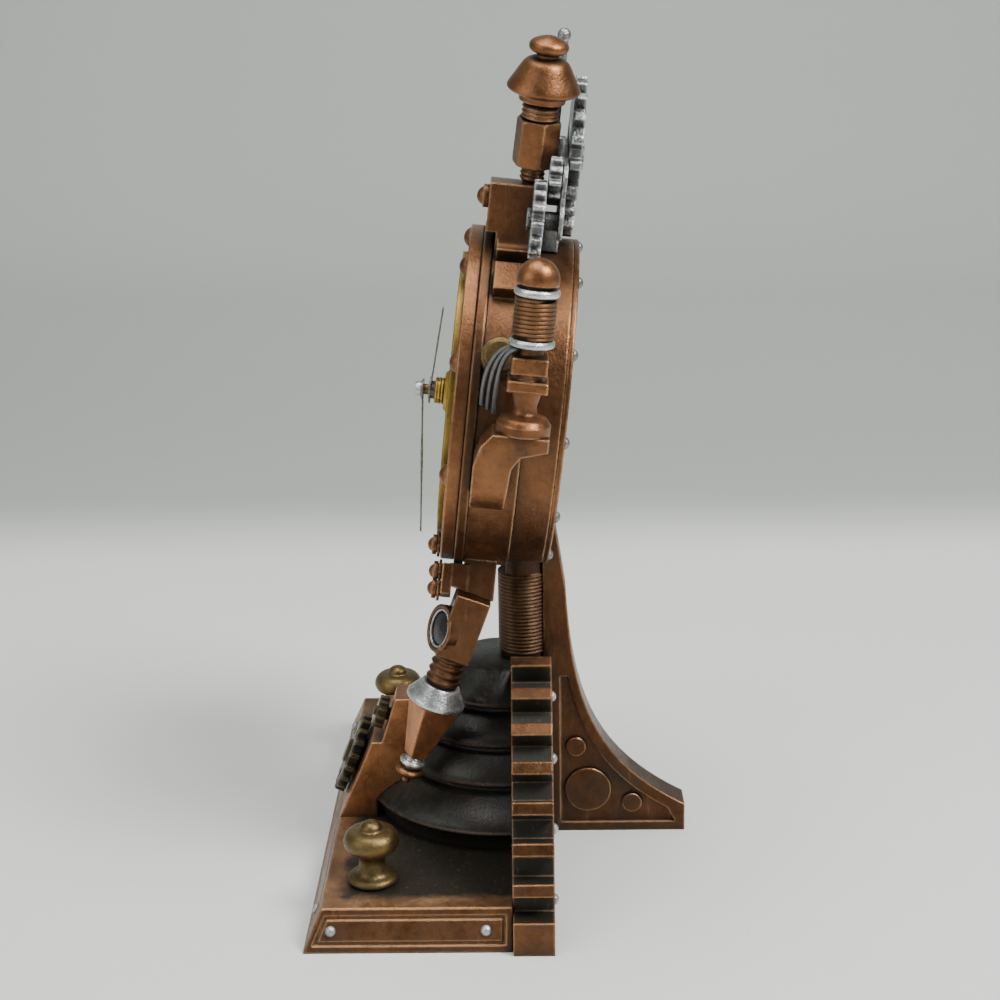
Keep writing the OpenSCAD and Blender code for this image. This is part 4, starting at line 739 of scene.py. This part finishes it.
class CLOCK_OT_case(bpy.types.Operator):
    """Finish the round case, its bezel, screws, strut and wheels"""

    bl_idname = "clock.case"
    bl_label = "Case"

    def washers(self, copper):
        """Petal washers under the rosette screws."""
        shapes = []
        for out, depth in ROSETTES:
            disc = petal_disc(radius=3.2, wave=0.35, petals=9, low=0.2, high=1.0)
            shapes.append((disc, CASE @ turned(LOWER_LUG, "Z") @ moved(out, 0, -depth)))
        piece("petal_washers", joined(shapes), copper)

    def bell(self, copper):
        """Bell and ball of the finial, with a blind bore for the rod."""
        rod, r, low, top, ball = ROD_R, BELL_R, BELL_LOW, BELL_TOP, BALL_R
        bore = [(0, low + BORE_H), (rod, low + BORE_H)]
        outline = curve_through([
            (rod, low), (rod, low), (rod + 2.8, low), (rod + 2.8, low), (rod + 3, low + 1.6),
            (rod + 3, low + 1.6), (r - 0.9, low + 2.5), (r, low + 3.3), (r * 0.97, low + 4.4),
            (r * 0.82, low + 7), (r * 0.64, top - 1.4), (r * 0.5, top - 0.2), (ball * 0.6, top + 0.4),
            (ball * 0.6, top + 1.2), (ball * 0.9, top + 2), (ball, top + 3.2), (ball * 0.9, top + 4.4),
            (ball * 0.5, top + 5.6), (0, top + 6.2), (0, top + 6.2),
        ])
        shape = lathe([*bore, *outline], SEGMENTS_MIDDLE)
        piece("finial_bell_turned", shape, copper, place=FINIAL, replaces=["finial_bell"])

    def tip(self, copper, silver):
        """Silver ring and copper bead at the end of the nozzle."""
        end = STRUT @ moved(*TIP_AT)
        neck, top, low = TIP_NECK_R, TIP_RING_H, TIP_BEAD_LOW
        ring = curve_through([
            (0, 0), (0, 0), (neck, 0), (neck, 0), (neck, 1), (3.5, 1.2), (3.9, 1.9), (3.5, 2.6),
            (neck, top), (neck, top), (0, top), (0, top),
        ])
        shape = lathe(ring, SEGMENTS_SMALL)
        piece("tip_ring", shape, silver, place=end, replaces=["nozzle_tip"])
        bead = curve_through([
            (0, low), (0, low), (neck, low), (neck, low), (neck, 3.5), (3.9, 4.1), (4.3, 4.7), (4.1, 5.4),
            (3, 6.4), (1.5, 6.9), (1.2, 8.4), (0.7, 8.8), (0, 8.8), (0, 8.8),
        ])
        shape = lathe(bead, SEGMENTS_SMALL)
        piece("tip_bead", shape, copper, place=end, replaces=["nozzle_tip"])

    def cup(self, silver, dark):
        """Silver ring and dark domed disc in the strut's cup."""
        place = STRUT @ moved(*CUP_AT) @ turned(-CUP_TURN, "Z") @ turned(-90, "X")
        low = CUP_FLOOR
        ring = [(5.05, low), (5.8, low), (5.8, 3.0), (5.65, 3.2), (5.3, 3.25), (5.05, 3.0), (5.05, low)]
        piece("cup_ring", lathe(ring, SEGMENTS_SMALL), silver, place=place)
        dome = curve_through([
            (0, low), (0, low), (5, low), (5, low), (5, 2.4), (3.6, 2.9), (0, 3.2), (0, 3.2),
        ])
        piece("cup_disc", lathe(dome, SEGMENTS_SMALL), dark, place=place)

    def execute(self, context):
        tint = settings()[0]
        worn = tint.copper_worn
        bronze = aged_metal("case bronze", tint.bronze, worn)
        softened(["case_frame"], 0.5, bronze, 2)
        softened(["case_drum", "rear_cover"], 0.3, bronze, 1)
        dim = aged_metal("seam bronze", shade(tint.bronze, 0.7), worn, wear=0.6)
        softened(["seam_ring"], 0.3, dim, 1)
        softened(["strut_arm"], 0.6, dim, 2)
        # The nozzle copper is a brightened copy of the copper, with less stain and shade: painted light on
        # faces that turn down from the lamps
        bright = aged_metal("nozzle copper", shade(tint.copper, 2.3), worn, stain_and_shade_amount=0.6)
        softened(["nozzle_body"], 0.6, bright, 2)
        copper = aged_metal("bezel copper", tint.copper, worn)
        softened(["side_arm"], 0.6, copper, 2)
        softened(["bezel", "finial_nut", "coil_post"], 0.4, copper, 1.2)
        dress(["lug_screw", "rosette_screws", "finial_rod", "coil_ball"], copper)
        glint = shade(tint.silver, 1.8)
        # Extra stain and shade darkens the wheels' crevices: painted shade, with some stains
        wheel = aged_metal(
            "wheel silver", shade(tint.silver, 0.62), glint, rough=0.25, metal=0.97, stain_and_shade_amount=1.9, relief=4
        )
        softened(["train_gear_large", "train_gear_middle", "train_gear_small"], 0.3, wheel, 1)
        dress(["gear_bridge", "gear_arbors", "spindle"], wheel)
        silver = aged_metal("ring silver", shade(tint.silver, 1.15), glint, rough=0.26)
        dress(["coil_rings", "nozzle_collar"], silver)
        self.washers(copper)
        self.bell(copper)
        self.tip(copper, silver)
        dark = aged_metal(
            "cup dark", shade(tint.gunmetal, 0.7), shade(tint.gunmetal, 2), rough=0.2, metal=0.2
        )
        self.cup(silver, dark)
        return {"FINISHED"}


class CLOCK_OT_dial(bpy.types.Operator):
    """Finish the dial, hands and movement, and add the figures and the minute track"""

    bl_idname = "clock.dial"
    bl_label = "Dial and movement"

    def figures(self, height):
        """Twelve figures standing upright round the dial."""
        shapes = []
        for hour, body in enumerate(FIGURES):
            text = bpy.data.curves.new("figure", "FONT")
            text.body = body
            text.size = height
            text.extrude = STROKE_HIGH / 2 * MM
            text.align_x = "CENTER"
            text.align_y = "CENTER"
            mesh = curve_mesh(text)
            shape = bmesh.new()
            shape.from_mesh(mesh)
            bpy.data.meshes.remove(mesh)
            shapes.append((shape, CASE @ turned(-30 * hour, "Z") @ moved(*FIGURE_AT)))
        return joined(shapes)

    def track(self):
        """Sixty minute strokes between two thin rings."""
        shapes = []
        for minute in range(60):
            wide = 1.0 if minute % 5 == 0 else 0.45
            stroke = box(wide, STROKE_LONG, STROKE_HIGH)
            shapes.append((stroke, CASE @ turned(6 * minute, "Z") @ moved(*STROKE_AT)))
        for r in TRACK_RADII:
            outer, low, high = r + TRACK_WIDE, 0.1, 0.36
            ring = lathe([(r, low), (r, high), (outer, high), (outer, low), (r, low)], SEGMENTS_LARGE)
            shapes.append((ring, CASE @ moved(0, 0, 1.0)))
        return joined(shapes)

    def knurl(self):
        """Bars round the setting knob."""
        shapes = []
        for k in range(KNURLS):
            place = CASE @ moved(*SETTING_AT) @ turned(360 / KNURLS * k, "Z") @ moved(KNURL_R, 0, 0)
            shapes.append((box(*KNURL_BAR), place))
        return joined(shapes)

    def cell_door(self):
        """Frame of the cell door and its grip ribs."""
        shapes = []
        for x, y, wide, high in DOOR_BARS:
            shapes.append((box(wide, high, DOOR_RELIEF), CASE @ moved(x, y, DOOR_Z)))
        for k in range(DOOR_RIBS):
            shapes.append((box(0.8, 6, DOOR_RELIEF), CASE @ moved(-16 + 2 * k, -16.4, DOOR_Z)))
        return joined(shapes)

    def execute(self, context):
        tint, size = settings()
        bright_gold = shade(tint.gold, 1.35)
        dress(["dial", "dial_nut"], aged_metal("dial gold", tint.gold, bright_gold, rough=0.38))
        ink = aged_metal("dial ink", tint.ink, shade(tint.ink, 3), rough=0.5, metal=0.2)
        piece("dial_figures", self.figures(size.figure), ink)
        piece("minute_track", self.track(), ink)
        hands = aged_metal("hand metal", shade(tint.silver, 0.3), tint.silver, rough=0.34)
        dress(["hour_hand", "minute_hand"], hands)
        steel = aged_metal("turned steel", tint.silver, shade(tint.silver, 1.4), rough=0.25, metal=1.0)
        dress(["hour_tube", "hand_nut"], steel)
        brass = aged_metal("turned brass", tint.gold, bright_gold, rough=0.28, metal=1.0)
        dress(["bushing", "minute_arbor"], brass)
        black = plain_mould("black mould", (0.018, 0.018, 0.019))
        dress(["movement_case", "movement_back", "setting_knob"], black)
        piece("knob_knurl", self.knurl(), black, body="setting")
        piece("cell_door", self.cell_door(), black)
        dress(["motion_wheel"], plain_mould("pale mould", (0.55, 0.51, 0.42)))
        dress(["circuit_board"], plain_mould("board green", (0.02, 0.10, 0.045)))
        dress(["battery"], plain_mould("cell sleeve", (0.05, 0.07, 0.08), 0.3))
        dress(["motor_coil"], aged_metal("coil copper", tint.copper_worn, tint.copper_worn, rough=0.3))
        return {"FINISHED"}


class CLOCK_OT_winding(bpy.types.Operator):
    """Wind the wire on the side post and lay the grey leads"""

    bl_idname = "clock.winding"
    bl_label = "Winding and leads"

    def winding(self, size):
        """Path of close turns between the rings, with both ends tucked in to the post."""
        half = size.wire / MM / 2
        radius = WINDING_BORE_R + half
        lift = half + WINDING_GAP
        rise = RINGS_APART - 2 * lift
        count = PER_TURN * size.turns
        path = []
        for k in range(-TUCK_STEPS, count + TUCK_STEPS + 1):
            a = math.tau * k / PER_TURN
            up = RING_TOP + lift + rise * min(max(k / count, 0), 1)
            out = radius - TUCK * max(-k, k - count, 0)
            path.append(POST @ (Vector((out * math.cos(a), out * math.sin(a), up)) * MM))
        return path

    def lead(self, size, i):
        """Path of lead i (-1, 0 or 1) from the post's neck to the frame."""
        top = LEAD_TOP - size.lead / MM / 2 - 0.2
        low = LEAD_FOOT_Y - i
        spread = LEAD_PITCH * (i + 1)
        start = Vector((POST_AT[0] + i * LEAD_PITCH, top, LEAD_START_Z))
        foot = Vector((math.sqrt(FRAME_R**2 - low**2) + 0.65, low, -FRAME_FRONT - 0.9 - spread))
        knee = Vector((start.x - 1, top - 0.6, -FRAME_FRONT - 0.4 - spread))
        path = []
        for f in [k / LEAD_STEPS for k in range(LEAD_STEPS + 1)]:
            path.append(CASE @ (((1 - f) ** 2 * start + 2 * f * (1 - f) * knee + f * f * foot) * MM))
        return path

    def execute(self, context):
        tint, size = settings()
        # Extra stain and shade darkens the grooves between the turns of wire: painted shade
        copper = aged_metal("wire copper", shade(tint.copper, 0.85), tint.copper_worn, wear=0.25, stain_and_shade_amount=1.4)
        grey = aged_metal(
            "lead grey", shade(tint.silver, 0.27), shade(tint.silver, 0.7), rough=0.4, metal=0.8
        )
        mesh = tube_mesh("winding", self.winding(size), size.wire)
        settle("winding", mesh, copper, replaces=["coil_wire"], angle=60)
        for i in (-1, 0, 1):
            name = f"lead_{i + 2}"
            mesh = tube_mesh(name, self.lead(size, i), size.lead)
            settle(name, mesh, grey, replaces=["lead_wires"], angle=60)
        return {"FINISHED"}


class CLOCK_OT_stage(bpy.types.Operator):
    """Floor, lights and camera"""

    bl_idname = "clock.stage"
    bl_label = "Stage"

    def floor_paint(self):
        """Pale floor with painted shade towards the back: darkest just behind the clock, lighter again where
        the sheet rises.
        """
        tint = settings()[0]
        p = Paint("studio floor")
        at = p.place()
        cloud = p.noise(at, 6, 3)
        grain = p.noise(at, 900, 2)
        body = p.mix(rgba(shade(tint.floor, 0.95)), rgba(tint.floor), cloud)
        far = p.part_of(at, 0) + (cloud - 0.5) * 0.03
        # Painted shade behind the clock, fading lighter towards the far end where the sheet rises
        painted_backdrop_shade = p.mix(rgba(tint.backdrop_far), rgba(tint.backdrop), far.between(-1.2, -0.36))
        body = p.mix(painted_backdrop_shade, body, far.between(-0.36, -0.25))
        return p.finish(body, 0.62 + cloud * 0.1, 0.0, grain, 0.0001, 0.2)

    def floor(self, scene):
        """Floor that bends up into a backdrop."""
        bend, back = FLOOR_BEND, FLOOR_BACK
        sweep = [(FLOOR_NEAR, 0.0), (back, 0.0)]
        for a in [math.pi / 2 / BEND_STEPS * k for k in range(1, BEND_STEPS + 1)]:
            sweep.append((back - bend * math.sin(a), bend - bend * math.cos(a)))
        sweep.append((back - bend, FLOOR_HIGH))
        shape = bmesh.new()
        line = [shape.verts.new((x, -FLOOR_HALF, z)) for x, z in sweep]
        edges = [shape.edges.new(pair) for pair in zip(line, line[1:])]
        far_side = new_points(bmesh.ops.extrude_edge_only(shape, edges=edges))
        bmesh.ops.translate(shape, verts=far_side, vec=(0, 2 * FLOOR_HALF, 0))
        bmesh.ops.recalc_face_normals(shape, faces=shape.faces)
        mesh = bpy.data.meshes.new("floor")
        shape.to_mesh(mesh)
        shape.free()
        mesh.materials.append(self.floor_paint())
        smooth_by_angle(mesh, 40)
        floor = bpy.data.objects.new("floor", mesh)
        scene.collection.objects.link(floor)

    def light(self, scene):
        world = bpy.data.worlds.new("studio")
        world.use_nodes = True
        sky = world.node_tree.nodes["Background"]
        sky.inputs["Color"].default_value = SKY
        sky.inputs["Strength"].default_value = SKY_STRENGTH
        scene.world = world
        for name, place, aim, wide, power in LAMPS:
            lamp = bpy.data.lights.new(name, "AREA")
            lamp.size = wide
            lamp.energy = power
            holder = bpy.data.objects.new(name, lamp)
            holder.location = place
            holder.rotation_euler = (Vector(aim) - Vector(place)).to_track_quat("-Z", "Y").to_euler()
            scene.collection.objects.link(holder)

    def camera(self, scene):
        """Camera as fitted to the photograph."""
        yaw, pitch, roll = (math.radians(v) for v in (CAMERA_YAW, CAMERA_PITCH, CAMERA_ROLL))
        level = Vector((-math.cos(yaw), -math.sin(yaw), 0))
        ahead = level * math.cos(pitch) - Vector((0, 0, math.sin(pitch)))
        side = Vector((-math.sin(yaw), math.cos(yaw), 0))
        up = side.cross(ahead)
        right = side * math.cos(roll) - up * math.sin(roll)
        above = up * math.cos(roll) + side * math.sin(roll)
        lens = bpy.data.cameras.new("camera")
        lens.sensor_width = SENSOR
        lens.lens = FOCAL_LENGTH
        lens.clip_start = 0.01
        camera = bpy.data.objects.new("camera", lens)
        turn = Matrix((right, above, -ahead)).transposed().to_4x4()
        camera.matrix_world = Matrix.Translation(CAMERA_AT) @ turn
        scene.collection.objects.link(camera)
        scene.camera = camera

    def execute(self, context):
        self.floor(context.scene)
        self.light(context.scene)
        self.camera(context.scene)
        return {"FINISHED"}


class CLOCK_PT_panel(bpy.types.Panel):
    """Lists the steps of the dressing"""

    bl_idname = "CLOCK_PT_panel"
    bl_label = "Clock"
    bl_space_type = "VIEW_3D"
    bl_region_type = "UI"
    bl_category = "Clock"

    def draw(self, context):
        for step in STEPS:
            self.layout.operator(step.bl_idname)


STEPS = (
    CLOCK_OT_stage,
    CLOCK_OT_stand,
    CLOCK_OT_discs,
    CLOCK_OT_console,
    CLOCK_OT_case,
    CLOCK_OT_dial,
    CLOCK_OT_winding,
)
CLASSES = (ClockColours, ClockSizes, *STEPS, CLOCK_PT_panel)


def register():
    for kind in CLASSES:
        bpy.utils.register_class(kind)
    bpy.types.Scene.clock_colours = PointerProperty(type=ClockColours)
    bpy.types.Scene.clock_sizes = PointerProperty(type=ClockSizes)


def unregister():
    del bpy.types.Scene.clock_colours
    del bpy.types.Scene.clock_sizes
    for kind in reversed(CLASSES):
        bpy.utils.unregister_class(kind)


def main():
    register()
    for step in STEPS:
        group, name = step.bl_idname.split(".")
        getattr(getattr(bpy.ops, group), name)()


if __name__ == "__main__":
    main()
